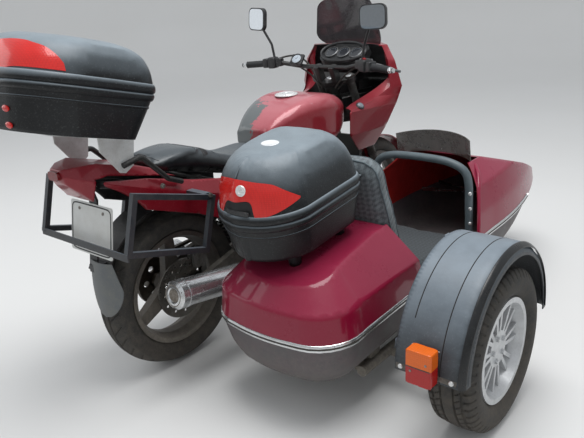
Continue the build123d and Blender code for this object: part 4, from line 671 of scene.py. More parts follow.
def stuffed(name, node, voxel, shrink, cap, pressure, finish):
    """A cushion grown from its solid: the copy is drawn in, swells under pressure to a cap, and is smoothed."""
    pad = bpy.data.objects.new(name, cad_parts[node].data.copy())
    bpy.context.scene.collection.objects.link(pad)
    shell = pad.modifiers.new("shell", "REMESH")
    shell.mode = "VOXEL"
    shell.voxel_size = voxel
    settle(pad)
    relax = pad.modifiers.new("relax", "SMOOTH")
    relax.iterations = 14
    relax.factor = 0.7
    settle(pad)
    for v, out in [(v, v.normal.copy()) for v in pad.data.vertices]:
        v.co -= out * shrink
    rest = [v.co.copy() for v in pad.data.vertices]
    swell = pad.modifiers.new("swell", "CLOTH")
    swell.settings.use_pressure = True
    swell.settings.uniform_pressure_force = pressure
    swell.settings.effector_weights.gravity = 0
    swell.settings.quality = 4
    swell.point_cache.frame_start = 1
    swell.point_cache.frame_end = 20
    for tick in range(1, 21):
        bpy.context.scene.frame_set(tick)
    settle(pad)
    bpy.context.scene.frame_set(1)
    for v, home in zip(pad.data.vertices, rest):
        step = v.co - home
        if step.length > cap:
            v.co = home + step * (cap / step.length)
    lowest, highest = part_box(node)
    for v in pad.data.vertices:
        v.co = Vector([min(max(c, lo - 0.004), hi + 0.006) for c, lo, hi in zip(v.co, lowest, highest)])
        v.co.z = max(v.co.z, lowest[2])
    rounder = pad.modifiers.new("rounder", "SMOOTH")
    rounder.iterations = 4
    settle(pad)
    finer = pad.modifiers.new("finer", "SUBSURF")
    finer.levels = finer.render_levels = 1
    settle(pad)
    pad.data.materials.clear()
    pad.data.materials.append(finish)
    pad.data.polygons.foreach_set("use_smooth", [True] * len(pad.data.polygons))
    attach(pad, "vehicle")
    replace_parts(pad, node)
    return pad


# Calendered vinyl: black with a fine hide grain about 2 mm across, painted pale on what faces up as a painted sky
# reflection on wet vinyl.
vinyl = weathered("grained_vinyl", "#17191b", "#2f3336", 70, 0.6, (0.24, 0.44), 2.2, 0.5, speck=0.12, dust="#7d7d7a",
                  painted_sheen="#6d777d", painted_sheen_share=0.4)
seat_pad = stuffed("seat_pad", "seat", 0.0085, 0.006, 0.012, 3, vinyl)


def skin_of(*things):
    """The outer surfaces of solids or pieces, for laying trim on them. What faces their middle is left out."""
    trees = []
    for thing in things:
        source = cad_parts[thing].data if isinstance(thing, str) else thing.data
        lowest = Vector([min(v.co[k] for v in source.vertices) for k in range(3)])
        highest = Vector([max(v.co[k] for v in source.vertices) for k in range(3)])
        middle = (lowest + highest) / 2
        outer = [p.vertices for p in source.polygons if p.normal.dot(p.center - middle) > 0]
        trees.append(BVHTree.FromPolygons([v.co for v in source.vertices], outer))
    return trees


def nearest(trees, spot):
    """The nearest point of some surfaces, with the outward normal there."""
    found = [tree.find_nearest(spot) for tree in trees]
    best = min((f for f in found if f[0] is not None), key=lambda f: f[3])
    return best[0], best[1]


def bead(form, trees, points, half, lift, steps=6, closed=False):
    """A half-round bead or strip along a line laid on a surface, or along points given with their outward directions.
    It takes half its width, and how far it stands up, in millimetres."""
    rings = []
    count = len(points)
    laid = [p if isinstance(p, tuple) else nearest(trees, p) for p in points]
    for k, (spot, out) in enumerate(laid):
        ahead = laid[(k + 1) % count if closed else min(k + 1, count - 1)][0] - laid[k - 1 if closed or k else 0][0]
        aside = out.cross(ahead).normalized()
        ring = []
        for t in range(steps + 1):
            lean = pi * t / steps
            ring.append(form.verts.new(spot + aside * cos(lean) * half / 1000 + out * sin(lean) * lift / 1000))
        ring.append(form.verts.new(spot - out * 0.0015))
        rings.append(ring)
    bridge(form, rings, closed)


def ease(points, count):
    """The same line with even, closer points, rounded through its corners."""
    knots = [Vector(p) for p in points]
    line = []
    for k in range(len(knots) - 1):
        a, b = knots[max(k - 1, 0)], knots[k]
        c, d = knots[k + 1], knots[min(k + 2, len(knots) - 1)]
        for t in range(count):
            s = t / count
            line.append(0.5 * ((2 * b) + (c - a) * s + (2 * a - 5 * b + 4 * c - d) * s * s
                               + (3 * b - a - 3 * c + d) * s ** 3))
    line.append(knots[-1])
    return line


seat_skin = skin_of(seat_pad)
seat_seams = bmesh.new()
for line_y, half_seat in ((130, 128), (232, 132), (-60, 100)):
    bead(seat_seams, seat_skin, [at(half_seat * (k / 20 - 1), line_y - 14 * (1 - (k / 20 - 1) ** 2),
         880) for k in range(41)], 3, 1.6)
fix("seat_seams", seat_seams, vinyl)
seat_strap = bmesh.new()
bead(seat_strap, seat_skin, [at(150 * (k / 20 - 1), 168, 900 - 40 * abs(k / 20 - 1)) for k in range(41)], 15, 2.4, 4)
fix("seat_strap", seat_strap, black_moulding)

# ---------------------------------------------------------------------------
# Tail: red moulded lamp in the panel's point, a black guard that carries the plate, and a rubber
# flap below it. The plate is pressed aluminium in white with a black edge, and is left blank.
# ---------------------------------------------------------------------------
# Moulded acrylic in red with a prism grid behind it, drawn 6 mm across so that it shows.
def prism_lens(name, colour, deep, scale, coat=0.5):
    """Coloured acrylic over a grid of moulded prisms."""
    finish = new_finish(name, Roughness=0.25, IOR=1.4, Coat_Weight=coat, Coat_Roughness=0.05)
    spot = put(finish, "TexCoord").outputs["Object"]
    cells = put(finish, "TexVoronoi", {"Vector": spot, "Scale": scale, "Randomness": 0.15}, feature="F1")
    cloud = put(finish, "TexNoise", {"Vector": spot, "Scale": 14, "Detail": 4})
    depth = put(finish, "MapRange", {"Value": cells.outputs["Distance"], "From Max": 0.8})
    mixed = put(finish, "Math", {0: depth.outputs[0], 1: cloud.outputs["Fac"]}, operation="MULTIPLY")
    tone = put(finish, "Mix", {0: mixed.outputs[0], 6: srgb(colour), 7: srgb(deep)}, data_type="RGBA")
    relief = put(finish, "Bump", {"Height": cells.outputs["Distance"], "Strength": 0.5, "Distance": 0.0008})
    feed(finish, Base_Color=tone.outputs[2], Normal=relief.outputs[0])
    return finish


red_acrylic = prism_lens("red_acrylic", "#d4221b", "#a51510", 160)
dress(prism_lens("dark_red_acrylic", "#7c1519", "#3d0a0d", 160), "tail_light")
soften("tail_panels", "tail_fairing", wine, span=14, passes=6, lining=black_moulding)


def between(form, outer, inner):
    """Closes two like grids of corners, one over the other, into a plate."""
    for near, far, under, below in zip(outer, outer[1:], inner, inner[1:]):
        for t in range(len(near) - 1):
            form.faces.new((near[t], near[t + 1], far[t + 1], far[t]))
            form.faces.new((under[t], below[t], below[t + 1], under[t + 1]))
        for t in (0, -1):
            form.faces.new((near[t], far[t], below[t], under[t]))
    for near, under in ((outer[0], inner[0]), (outer[-1], inner[-1])):
        for t in range(len(near) - 1):
            form.faces.new((near[t], near[t + 1], under[t + 1], under[t]))


# The flap's mid grey is partly a painted wet reflection laid into the rubber's colour.
flap_rubber_painted_sheen = weathered("moulded_flap_rubber", "#5a5e61", "#74756f", 60, 0.6, (0.5, 0.75), 2, 0.3, mud=0.5, speck=0.5)
flap_low, flap_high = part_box("rear_mudflap")
flap_form = bmesh.new()
flap_sheets = []
for sunk in (0.0, 0.0035):
    flap_rows = []
    for r in range(33):
        rise = r / 32
        drawn_in = sqrt(max(1 - (1 - min(rise / 0.55, 1)) ** 2, 0.0)) * (1 - 0.3 * max(rise - 0.5, 0) / 0.5)
        row = []
        for c in range(25):
            across = (c / 12 - 1) * max(drawn_in, 0.02)
            x = (flap_low[0] + flap_high[0]) / 2 + across * (flap_high[0] - flap_low[0]) * 0.48
            curled = min(across * across * (1.0 if across > 0 else 0.5), 1)
            y = flap_low[1] + 0.0005 + sunk + (flap_high[1] - flap_low[1] - 0.006) * curled
            row.append(flap_form.verts.new((x, y, flap_low[2] + (flap_high[2] - flap_low[2]) * rise)))
        flap_rows.append(row)
    flap_sheets.append(flap_rows)
between(flap_form, *flap_sheets)
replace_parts(fix("mudflap_moulding", flap_form, flap_rubber_painted_sheen), "rear_mudflap")
plate_white = weathered("reflective_plate_enamel", "#cfd1cf", "#b5b3ab", 60, 0.4, (0.3, 0.5), 1, 0.03, speck=0.15)
dress(plate_white, "number_plate")
plate_lo, plate_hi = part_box("number_plate")
plate_mid = (Vector(plate_lo) + Vector(plate_hi)) / 2
plate_trim = bmesh.new()
plate_face = Vector((0, -1, 0.16)).normalized()
plate_up = Vector((0, 0.16, 1)).normalized()
border = []
for t in range(80):
    lean = 2 * pi * t / 80
    u = 0.115 * copysign(abs(cos(lean)) ** 0.2, cos(lean))
    v = 0.085 * copysign(abs(sin(lean)) ** 0.2, sin(lean))
    border.append((plate_mid + Vector((u, 0, 0)) + plate_up * v + plate_face * 0.0016, plate_face))
bead(plate_trim, [], border, 2.6, 1.2, 4, closed=True)
fix("plate_border", plate_trim, black_moulding)
plate_screws = bmesh.new()
for u in (-70, 70):
    foot = plate_mid + plate_up * 0.066 + Vector((u / 1000, 0, 0)) + plate_face * 0.002
    turn(plate_screws, mm(foot), plate_face, ((0, 6), (1.6, 6), (2.8, 4)), 20)
fix("plate_screws", plate_screws, zinc)

# ---------------------------------------------------------------------------
# Fairing: a moulded half fairing in the wine enamel with a clear lamp glass in its nose, a smoked
# screen above, a dash in a soft black rim, and a small amber marker lamp on the right panel.
# ---------------------------------------------------------------------------
# Fluted lamp glass in front, with the black pressed shell behind it.
clear_glass = new_finish("fluted_lamp_glass", Roughness=0.12, IOR=1.5, Coat_Weight=0.3)
clear_spot = put(clear_glass, "TexCoord").outputs["Object"]
clear_flutes = put(clear_glass, "TexWave", {"Vector": clear_spot, "Scale": 55}, bands_direction="X")
clear_tone = put(clear_glass, "Mix", {0: clear_flutes.outputs["Fac"], 6: srgb("#9aa1a6"), 7: srgb("#d6dadd")},
                 data_type="RGBA")
clear_relief = put(clear_glass, "Bump", {"Height": clear_flutes.outputs["Fac"], "Strength": 0.4, "Distance": 0.001})
clear_front = put(clear_glass, "SeparateXYZ", {"Vector": put(clear_glass, "TexCoord").outputs["Normal"]}).outputs["Y"]
clear_front = put(clear_glass, "Math", {0: clear_front, 1: 0.2}, operation="GREATER_THAN").outputs[0]
clear_shell = put(clear_glass, "Mix", {0: clear_front, 6: srgb("#0b0c0d"), 7: clear_tone.outputs[2]}, data_type="RGBA")
feed(clear_glass, Base_Color=clear_shell.outputs[2], Normal=clear_relief.outputs[0])
dress(clear_glass, "headlight")
# Smoked acrylic sheet: it darkens and greys what lies behind, with fine scratches that dull it.
smoked = weathered("smoked_acrylic", "#2b272b", "#4a4448", 60, 0.6, (0.1, 0.3), 3, 0.03, coat=0.4, speck=0.2,
                   dust="#8f8c8a")
smoked.node_tree.nodes["Principled BSDF"].inputs["Alpha"].default_value = 0.84
dress(smoked, "windscreen")

dash_ring = bmesh.new()
ring_mid = Vector((0, 1244, 1118))
ring_face = Vector((0, -0.62, 0.78)).normalized()
ring_up = Vector((0, 0.78, 0.62)).normalized()
rings = []
for t in range(72):
    lean = 2 * pi * t / 72
    middle = ring_mid + Vector((132 * cos(lean), 0, 0)) + ring_up * (66 * sin(lean))
    out = (Vector((66 * cos(lean), 0, 0)) + ring_up * (132 * sin(lean))).normalized()
    rings.append([dash_ring.verts.new(at(*(middle + out * 7 * cos(s * pi / 4) + ring_face * 9 * sin(s * pi / 4))))
                  for s in range(8)])
bridge(dash_ring, rings, closed=True)
fix("dash_rim", dash_ring, black_moulding)
gauge_rims = bmesh.new()
gauge_faces = bmesh.new()
gauge_ticks = bmesh.new()
for x in (-74, 0, 74):
    foot = ring_mid + Vector((x, 0, 0)) - ring_face * 4
    turn(gauge_rims, foot, ring_face, ((-6, 36), (4, 36), (6, 33), (4, 31.5), (0, 31)), 40)
    turn(gauge_faces, foot + ring_face * 1, ring_face, ((0, 31), (0.8, 30.6)), 40)
    for tick in range(11):
        lean = radians(-30 + 24 * tick)
        spot = foot + ring_face * 2.2 + (Vector((1, 0, 0)) * cos(lean) + ring_up * sin(lean)) * 25
        blob(gauge_ticks, spot, (2, 2, 0.8), ring_face.to_track_quat("Z", "Y"))
dark_dial = clouded("printed_dark_dial", "#14161a", "#2a2d33", 120, Roughness=0.2, Coat_Weight=0.8)
fix("gauge_rims", gauge_rims, grey_casting)
fix("gauge_faces", gauge_faces, dark_dial)
fix("gauge_ticks", gauge_ticks, dial)

fairing_panels = soften("fairing_panels", "front_fairing", wine, span=16, passes=4, keep=42,
                        lining=black_moulding)
fairing_skin = skin_of(fairing_panels)
# The panel's rear edge is folded inward into a lip of the same moulding, which hides the lamp's back.
fairing_lips = bmesh.new()
lip_outer = ease([(222, 1290, 1136), (247, 1281, 1088), (271, 1288, 1040), (294, 1297, 982), (294, 1294, 950),
                 (262, 1254, 925), (240, 1198, 908),
                  (229, 1127, 894), (223, 1051, 882), (221, 990, 873)], 5)
lip_inner = ease([(206, 1296, 1140), (214, 1290, 1098), (222, 1296, 1050), (228, 1300, 1000), (214, 1290, 976),
                 (196, 1256, 952), (186, 1202, 932),
                  (180, 1130, 914), (178, 1054, 898), (184, 992, 884)], 5)
for side in (1, -1):
    rings = []
    for k, (near, far) in enumerate(zip(lip_outer, lip_inner)):
        ahead = lip_outer[min(k + 1, len(lip_outer) - 1)] - lip_outer[max(k - 1, 0)]
        out = ahead.cross(far - near).normalized() * 1.3
        crown = (near + far) / 2 + Vector((0, -5, 5))
        rings.append([fairing_lips.verts.new(at(side * p.x, p.y, p.z)) for p in (near + out, crown + out, far + out,
                     far - out, crown - out, near - out)])
    bridge(fairing_lips, rings)
fix("fairing_lips", fairing_lips, wine)
marker_spot, marker_out = nearest(fairing_skin, at(246, 1054, 923))
marker = bmesh.new()
marker_mm = mm(marker_spot)
turn(marker, marker_mm, marker_out, ((-2, 21), (3, 21), (5, 18)), 32, True)
fix("marker_seats", marker, black_moulding)
marker_lens = bmesh.new()
turn(marker_lens, marker_mm, marker_out, ((4, 16), (9, 15), (13, 10), (14.5, 3)), 32, True)
fix("marker_lenses", marker_lens, prism_lens("grey_marker_acrylic", "#9aa3ab", "#5f676e", 220))

# ---------------------------------------------------------------------------
# Bag loops: flat bar and square tube welded into two hoops that stand on the rear guard.
# Rust has come through the paint at the welds.
# ---------------------------------------------------------------------------
# Its upward faces carry a pale painted sky reflection.
rusty_bar = weathered("chipped_bar_enamel", "#252a30", "#3d3b3b", 34, 0.7, (0.35, 0.6), 3, 0.3, speck=0.35,
                      dust="#7a6455", mud=0.15, painted_sheen="#77828c", painted_sheen_share=0.5)
dress(rusty_bar, "pannier_frame")
loop_bolts = bmesh.new()
for y, z in ((20, 731), (-190, 820)):
    bolt_head(loop_bolts, (262, y, z), (1, 0, 0), mirror=True)
fix("loop_bolts", loop_bolts, zinc)

# ---------------------------------------------------------------------------
# Rack and top case: bare alloy side plates and platform carry a two-part moulded case in grained
# black with a red reflector across the back of its lid.
# ---------------------------------------------------------------------------
dress(weathered("bare_alloy_plate", "#dfe1e0", "#b4b3ae", 40, 0.6, (0.35, 0.55), 1, 0.05, metallic=0.25, speck=0.3),
      "luggage_rack")
# Hard moulding with a coarse leather grain, 2.6 mm, painted pale grey on what faces up as a painted sky reflection.
case_moulding = weathered("case_moulding", "#0c0e10", "#1b1e21", 80, 0.6, (0.3, 0.46), 2.6, 0.9, speck=0.22,
                          dust="#8b8f92", ior=1.4, painted_sheen="#8b979f", painted_sheen_share=0.85)


def case_line(front, tilt, width, length, inset, height, count=9):
    """The plan line of a case at a height over its split, as points all round."""
    half, near, far = width / 2 - inset, -inset, -length + inset
    plan = [(half - 60, near)] + bow((half - 60, near), (half - 17, near - 18), (half, near - 60), count)
    plan += [(half - 2, (near - 60 + far + 150) / 2)] + bow((half - 4, far + 150), (half - 70, far + 40),
             (half - 150, far + 6), count)
    plan += bow((half - 150, far + 6), (0, far), (-half + 150, far + 6), count)[1:]
    plan += bow((-half + 150, far + 6), (-half + 70, far + 40), (-half + 4, far + 150), count)[1:]
    plan += [(-half + 2, (near - 60 + far + 150) / 2)] + bow((-half, near - 60), (-half + 17, near - 18),
             (-half + 60, near), count)
    lean = radians(tilt)
    points = []
    for u, v in plan:
        spot = Vector(front) + Vector((u, 0, 0)) + v * Vector((0, cos(lean), -sin(lean))) + height * Vector((0,
                      sin(lean), cos(lean)))
        points.append(at(*spot))
    return points


TOP_CASE = dict(front=(0, -157, 1118), tilt=13.5, width=537, length=450)
SIDE_CASE = dict(front=(552, 318, 787), tilt=-8, width=370, length=470)
for label, case, lid_body in (("top_case", TOP_CASE, "top_case_cover"), ("side_case", SIDE_CASE, "side_case_cover")):
    case_lid = soften(label + "_lid_moulding", label + "_lid", case_moulding, lid_body)
    case_base = soften(label + "_base_moulding", label + "_base", case_moulding, passes=7)
    lid_skin, base_skin = skin_of(case_lid), skin_of(case_base)
    lid_rim = bmesh.new()
    bead(lid_rim, lid_skin, case_line(**case, inset=0, height=17), 15, 7, 10, True)
    fix(label + "_lid_rim", lid_rim, case_moulding, lid_body)
    base_rim = bmesh.new()
    bead(base_rim, base_skin, case_line(**case, inset=0, height=-14), 12, 6, 8, True)
    bead(base_rim, base_skin, case_line(**case, inset=4, height=-48), 4, 2.5, 5, True)
    fix(label + "_base_ribs", base_rim, case_moulding)
    (top_lid_skin, side_lid_skin) = (lid_skin, None) if label == "top_case" else (top_lid_skin, lid_skin)


def wrap(form, trees, heart, lower, upper, columns, rows, lift, thick=2.0):
    """A moulded panel between two lines that are thrown on a surface from a point inside it.
    It stands off the surface by its lift."""
    low, high = ease(lower, columns), ease(upper, columns)
    outer, inner = [], []
    for a, b in zip(low, high):
        strip = []
        for r in range(rows + 1):
            away = (a.lerp(b, r / rows) - heart).normalized()
            spot, out = trees[0].ray_cast(heart, away)[:2]
            strip.append((spot, out if out.dot(away) > 0 else -out))
        outer.append([form.verts.new(spot + out * lift / 1000) for spot, out in strip])
        inner.append([form.verts.new(spot + out * (lift - thick) / 1000) for spot, out in strip])
    between(form, outer, inner)


top_reflector = bmesh.new()
low_edge = [(251, -475, 1232), (229, -511, 1241), (190, -548, 1250), (139, -573, 1254), (87, -583, 1248),
            (0, -588, 1250)]
high_edge = [(244, -473, 1254), (224, -482, 1280), (196, -495, 1303), (161, -510, 1315), (124, -520, 1324),
             (0, -540, 1326)]
low_edge += [(-x, y, z) for x, y, z in low_edge[-2::-1]]
high_edge += [(-x, y, z) for x, y, z in high_edge[-2::-1]]
wrap(top_reflector, top_lid_skin, at(0, -380, 1180), [at(*p) for p in low_edge], [at(*p) for p in high_edge], 7, 12,
     2.2)
fix("top_case_reflector", top_reflector, red_acrylic, "top_case_cover", 50)



def oval_boss(form, spot, out, half_x, half_y, levels, count):
    """A low oval boss on a surface, from levels of (share of its size, lift in millimetres)."""
    aside = Vector((1, 0, 0))
    along = out.cross(aside).normalized()
    bridge(form, [[form.verts.new(spot + (out * lift + aside * half_x * k * cos(2 * pi * t / count)
                                          + along * half_y * k * sin(2 * pi * t / count)) / 1000)
                   for t in range(count)] for k, lift in levels])


rear_ovals = bmesh.new()
base_wall = skin_of("top_case_base")
for x in (-89, 89):
    for z in (1084, 1134):
        spot, out = base_wall[0].ray_cast(at(x, -1200, z), Vector((0, 1, 0)))[:2]
        oval_boss(rear_ovals, spot, out, 19, 10, ((1, -1.5), (1, 2), (0.8, 4), (0.3, 5)), 32)
fix("top_case_oval_reflectors", rear_ovals, red_acrylic)

# ---------------------------------------------------------------------------
# Side case: the same make of case, laid on the sidecar's tail. Its red reflector frames the handle
# recess, a round lock sits in it, and a bare pale oval is let into the lid.
# ---------------------------------------------------------------------------
side_reflector = bmesh.new()
low_edge = ((462, -104, 748), (479, -131, 746), (512, -140, 794), (560, -143, 799), (608, -135, 801),
            (625, -131, 750), (664, -108, 760), (696, -73, 779), (719, -24, 805))
high_edge = ((446, -94, 856), (472, -108, 861), (496, -120, 866), (560, -134, 870), (586, -127, 867),
             (622, -112, 862), (664, -89, 856), (693, -64, 837), (721, -22, 811))
wrap(side_reflector, side_lid_skin, at(552, 60, 800), [at(*p) for p in low_edge], [at(*p) for p in high_edge], 8, 12,
     2.2)
fix("side_case_reflector", side_reflector, red_acrylic, "side_case_cover", 50)
recess = clouded("shadowed_recess_moulding", "#050506", "#17181a", 60, 4, Roughness=0.6)
handle_recess = bmesh.new()
wrap(handle_recess, side_lid_skin, at(552, 60, 800), [at(*p) for p in ((478, -131, 742), (560, -145, 742),
     (628, -131, 742))],
     [at(*p) for p in ((511, -139, 796), (560, -143, 800), (609, -134, 802))], 8, 8, 0.8, 1.2)
fix("side_case_recess", handle_recess, recess, "side_case_cover")
case_latch = bmesh.new()
lock_spot, lock_out = nearest(side_lid_skin, at(577, -143, 837))
turn(case_latch, mm(lock_spot), lock_out, ((0, 18), (4, 18), (6, 16), (6, 8), (4.5, 7.5)), 36)
fix("side_case_lock", case_latch, polished_alloy, "side_case_cover")
case_pull = bmesh.new()
blob(case_pull, Vector((562, -146, 764)), (92, 9, 15), None)
fix("side_case_handle", case_pull, black_moulding, "side_case_cover")
oval = clouded("pale_enamel_badge", "#d5d8da", "#eceeef", 90, Roughness=0.3, Coat_Weight=0.5)
for label, badge_skin, middle, half_x, half_y, lid_body in (("side_case", side_lid_skin, (549, 41, 949), 33, 27,
    "side_case_cover"),
                                                            ("top_case", top_lid_skin, (0, -380, 1312), 36, 24,
                                                                "top_case_cover")):
    badge = bmesh.new()
    oval_boss(badge, *nearest(badge_skin, at(*middle)), half_x, half_y, ((1, -0.5), (1, 1.2), (0.94, 2.2),
              (0.88, 1.6)), 48)
    fix(label + "_oval", badge, oval, lid_body)

# ---------------------------------------------------------------------------
# Sidecar chassis and struts: steel tube in brushed enamel, with mud below.
# ---------------------------------------------------------------------------
dress(brushed_enamel, "sidecar_chassis")

# ---------------------------------------------------------------------------
# Sidecar hull and body: glass fibre, burgundy above and a dirty grey below, joined under a strip of
# bright moulding with a dark rubber insert.
# ---------------------------------------------------------------------------
# The gelcoat carries a pale pink painted sky reflection on what faces up.
burgundy = weathered("burgundy_gelcoat", "#80042b", "#86102f", 160, 0.5, (0.24, 0.4), 4, 0.05, coat=0.5, ior=1.3,
                     speck=0.08, dust="#a98a92", mud=0.08,
                     painted_sheen="#b05a78", painted_sheen_share=0.16)
# Inside, the laminate was rolled with plain red gelcoat and never polished. Its red is painted brighter than that, as
# painted light that falls into the cockpit.
lit_inner_gelcoat = weathered("red_gelcoat_painted_brighter", "#b3201c", "#7d1518", 90, 0.6, (0.5, 0.7), 6, 0.5, speck=0.15,
                          dust="#6d4a40")
body_shell = soften("sidecar_body_shell", "sidecar_body", burgundy, span=24, passes=2, keep=26,
                    lining=lit_inner_gelcoat)
# The cowl's edge at the cockpit is rolled over a bead.
cowl_roll = bmesh.new()
roll_line = ease([(380, 410, 671), (400, 386, 657), (420, 360, 640), (441, 321, 606), (463, 280, 532),
                 (477, 256, 453), (484, 246, 392)], 6)
bead(cowl_roll, [], [(p / 1000, Vector((0.75, -0.5,
     0.55 * max(p.z - 450, 0) / 230)).normalized()) for p in roll_line], 9, 7, 8)
fix("cowl_edge_roll", cowl_roll, burgundy)
hull_paint = weathered("grey_hull_paint", "#3d3c40", "#5a4a50", 70, 0.8, (0.35, 0.65), 4, 0.2, speck=0.4,
                       dust="#77726c", mud=0.6)
hull_shell = soften("sidecar_hull_shell", "sidecar_hull", hull_paint, span=28, passes=7)
hull_skin = skin_of(body_shell, hull_shell)
HULL_MID, TAIL_TURN, NOSE_TURN = 620, 134, 1500
round_the_hull = [(y, 1, 0) for y in range(TAIL_TURN, NOSE_TURN, 22)]
round_the_hull += [(NOSE_TURN, cos(pi * k / 40), sin(pi * k / 40)) for k in range(40)]
round_the_hull += [(y, -1, 0) for y in range(NOSE_TURN, TAIL_TURN, -22)]
round_the_hull += [(TAIL_TURN, -cos(pi * k / 30), -sin(pi * k / 30)) for k in range(30)]
trim_line = []
for y, out_x, out_y in round_the_hull:
    reach = y
    for _ in range(3):
        height = 351 + 0.042 * reach
        struck, slope = hull_skin[0].ray_cast(at(HULL_MID + 900 * out_x, y + 900 * out_y, height),
                                  Vector((-out_x, -out_y, 0)))[:2]
        if struck:
            reach = mm(struck)[1]
            outward = Vector((slope.x, slope.y, 0)).normalized()
    if struck:
        trim_line.append((struck - Vector((0, 0, 0.003)), outward))
trim_bright = bmesh.new()
bead(trim_bright, hull_skin, trim_line, 12.5, 4, 8, True)
fix("waist_strip", trim_bright, chrome)
trim_dark = bmesh.new()
bead(trim_dark, hull_skin, trim_line, 5.5, 5.2, 4, True)
fix("waist_strip_insert", trim_dark, rubber)

# --------------------------------------------------------------------------- Sidecar seat: a leaning back
# and a thick cushion in woven houndstooth, edged with grey piping.
def check_cloth(name, pale, dark, check):
    """Woven cloth in a broken check, with yarn that stands up a little."""
    finish = new_finish(name, Roughness=0.9, Sheen_Weight=0.25)
    spot = put(finish, "TexCoord").outputs["Object"]
    split = put(finish, "SeparateXYZ", {"Vector": spot})
    climb = put(finish, "Math", {0: split.outputs["Y"], 1: split.outputs["Z"]}, operation="SUBTRACT").outputs[0]
    masks = []
    for run, other in ((split.outputs["X"], climb), (climb, split.outputs["X"])):
        turns = put(finish, "Math", {0: run, 1: 1000 / check}, operation="MULTIPLY").outputs[0]
        stair = put(finish, "Math", {0: other, 1: 700 / check}, operation="MULTIPLY").outputs[0]
        stair = put(finish, "Math", {0: stair}, operation="FRACT").outputs[0]
        stair = put(finish, "Math", {0: stair, 1: 0.35}, operation="MULTIPLY").outputs[0]
        turns = put(finish, "Math", {0: turns, 1: stair}, operation="ADD").outputs[0]
        turns = put(finish, "Math", {0: turns}, operation="FRACT").outputs[0]
        masks.append(put(finish, "Math", {0: turns, 1: 0.5}, operation="GREATER_THAN").outputs[0])
    both = put(finish, "Math", {0: masks[0], 1: masks[1]}, operation="ADD").outputs[0]
    half = put(finish, "Math", {0: both, 1: 0.5}, operation="MULTIPLY").outputs[0]
    yarn = put(finish, "TexNoise", {"Vector": spot, "Scale": 500, "Detail": 3})
    mixed = put(finish, "Math", {0: half, 1: yarn.outputs["Fac"]}, operation="MULTIPLY_ADD")
    tone = put(finish, "Mix", {0: mixed.outputs[0], 6: srgb(dark), 7: srgb(pale)}, data_type="RGBA")
    relief = put(finish, "Bump", {"Height": yarn.outputs["Fac"], "Strength": 0.5, "Distance": 0.0006})
    feed(finish, Base_Color=tone.outputs[2], Normal=relief.outputs[0])
    return finish


houndstooth = check_cloth("woven_houndstooth", "#717a7e", "#0d0f11", 24)
back_pad = stuffed("sidecar_back_pad", "sidecar_backrest", 0.0085, 0.007, 0.016, 4, houndstooth)
stuffed("sidecar_seat_pad", "sidecar_cushion", 0.0085, 0.007, 0.02, 4,
        check_cloth("dark_speckled_cloth", "#3f464a", "#0c0e10", 18))
grey_vinyl = weathered("grey_padded_vinyl", "#4e5a5f", "#6a757a", 50, 0.5, (0.4, 0.6), 2, 0.4, speck=0.15)
piping = bmesh.new()
back_skin = skin_of(back_pad)
lean = radians(13)
for face_off in (-4, 64):
    edge = [(-186, 12), (-176, 250), (-146, 420), (-110, 466), (-60, 476), (60, 476), (110, 466), (146, 420),
            (176, 250), (186, 12)]
    line = [at(620 + u, 456 - v * sin(lean) + face_off, 385 + v * cos(lean)) for u, v in edge]
    bead(piping, back_skin, ease(line, 8), 3.6, 3.4, 5)
fix("seat_back_piping", piping, grey_vinyl)

# ---------------------------------------------------------------------------
# Hoop over the cockpit: steel tube in a padded grey sleeve, bolted at its feet to the cockpit walls.
# ---------------------------------------------------------------------------
hoop_run = [(225, 945, 383), (225, 930, 520), (226, 921, 640), (205, 915, 690), (140, 908, 716), (60, 905, 722)]
hoop_run += [(-u, y, z) for u, y, z in hoop_run[::-1]]
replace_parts(strand("hoop_sleeve", [(620 + u, y, z) for u, y, z in hoop_run], 17, grey_vinyl),
            "sidecar_hoop")
bright_dome = weathered("bright_zinc_plate", "#d4d6d6", "#a8a8a4", 12, 0.5, (0.2, 0.4), 2, 0.04, metallic=0.5)
hoop_skin = skin_of("sidecar_hoop")
hoop_bolts = bmesh.new()
for x, y, z in ((441, 236, 589), (441, 243, 522), (441, 248, 455)):
    spot, out = nearest(hoop_skin, Vector((x, y, z)) / 1000)
    turn(hoop_bolts, mm(spot), out, ((-2, 8), (0.6, 8), (3, 6.4), (4.4, 3)), 20)
fix("hoop_bolts", hoop_bolts, bright_dome)

# Low screen on the cowl: thick acrylic gone brown and dull, held by a row of rivets through its foot.
brown_acrylic = weathered("dulled_brown_acrylic", "#4a4542", "#67605a", 50, 0.8, (0.2, 0.4), 3, 0.03, coat=0.3,
                          speck=0.3, dust="#8f8c8a")
brown_acrylic.node_tree.nodes["Principled BSDF"].inputs["Alpha"].default_value = 0.8
dress(brown_acrylic, "sidecar_screen")
screen_skin = skin_of("sidecar_screen")
screen_rivets = bmesh.new()
for u, v in bow((-170, 8), (0, 78), (170, 8), 6):
    spot, out = nearest(screen_skin, at(600 + u, 1092 + v, 590 + 118))
    turn(screen_rivets, mm(spot), out, ((-4, 5), (1.2, 5), (2.4, 3)), 16)
fix("sidecar_screen_rivets", screen_rivets, bright_dome)

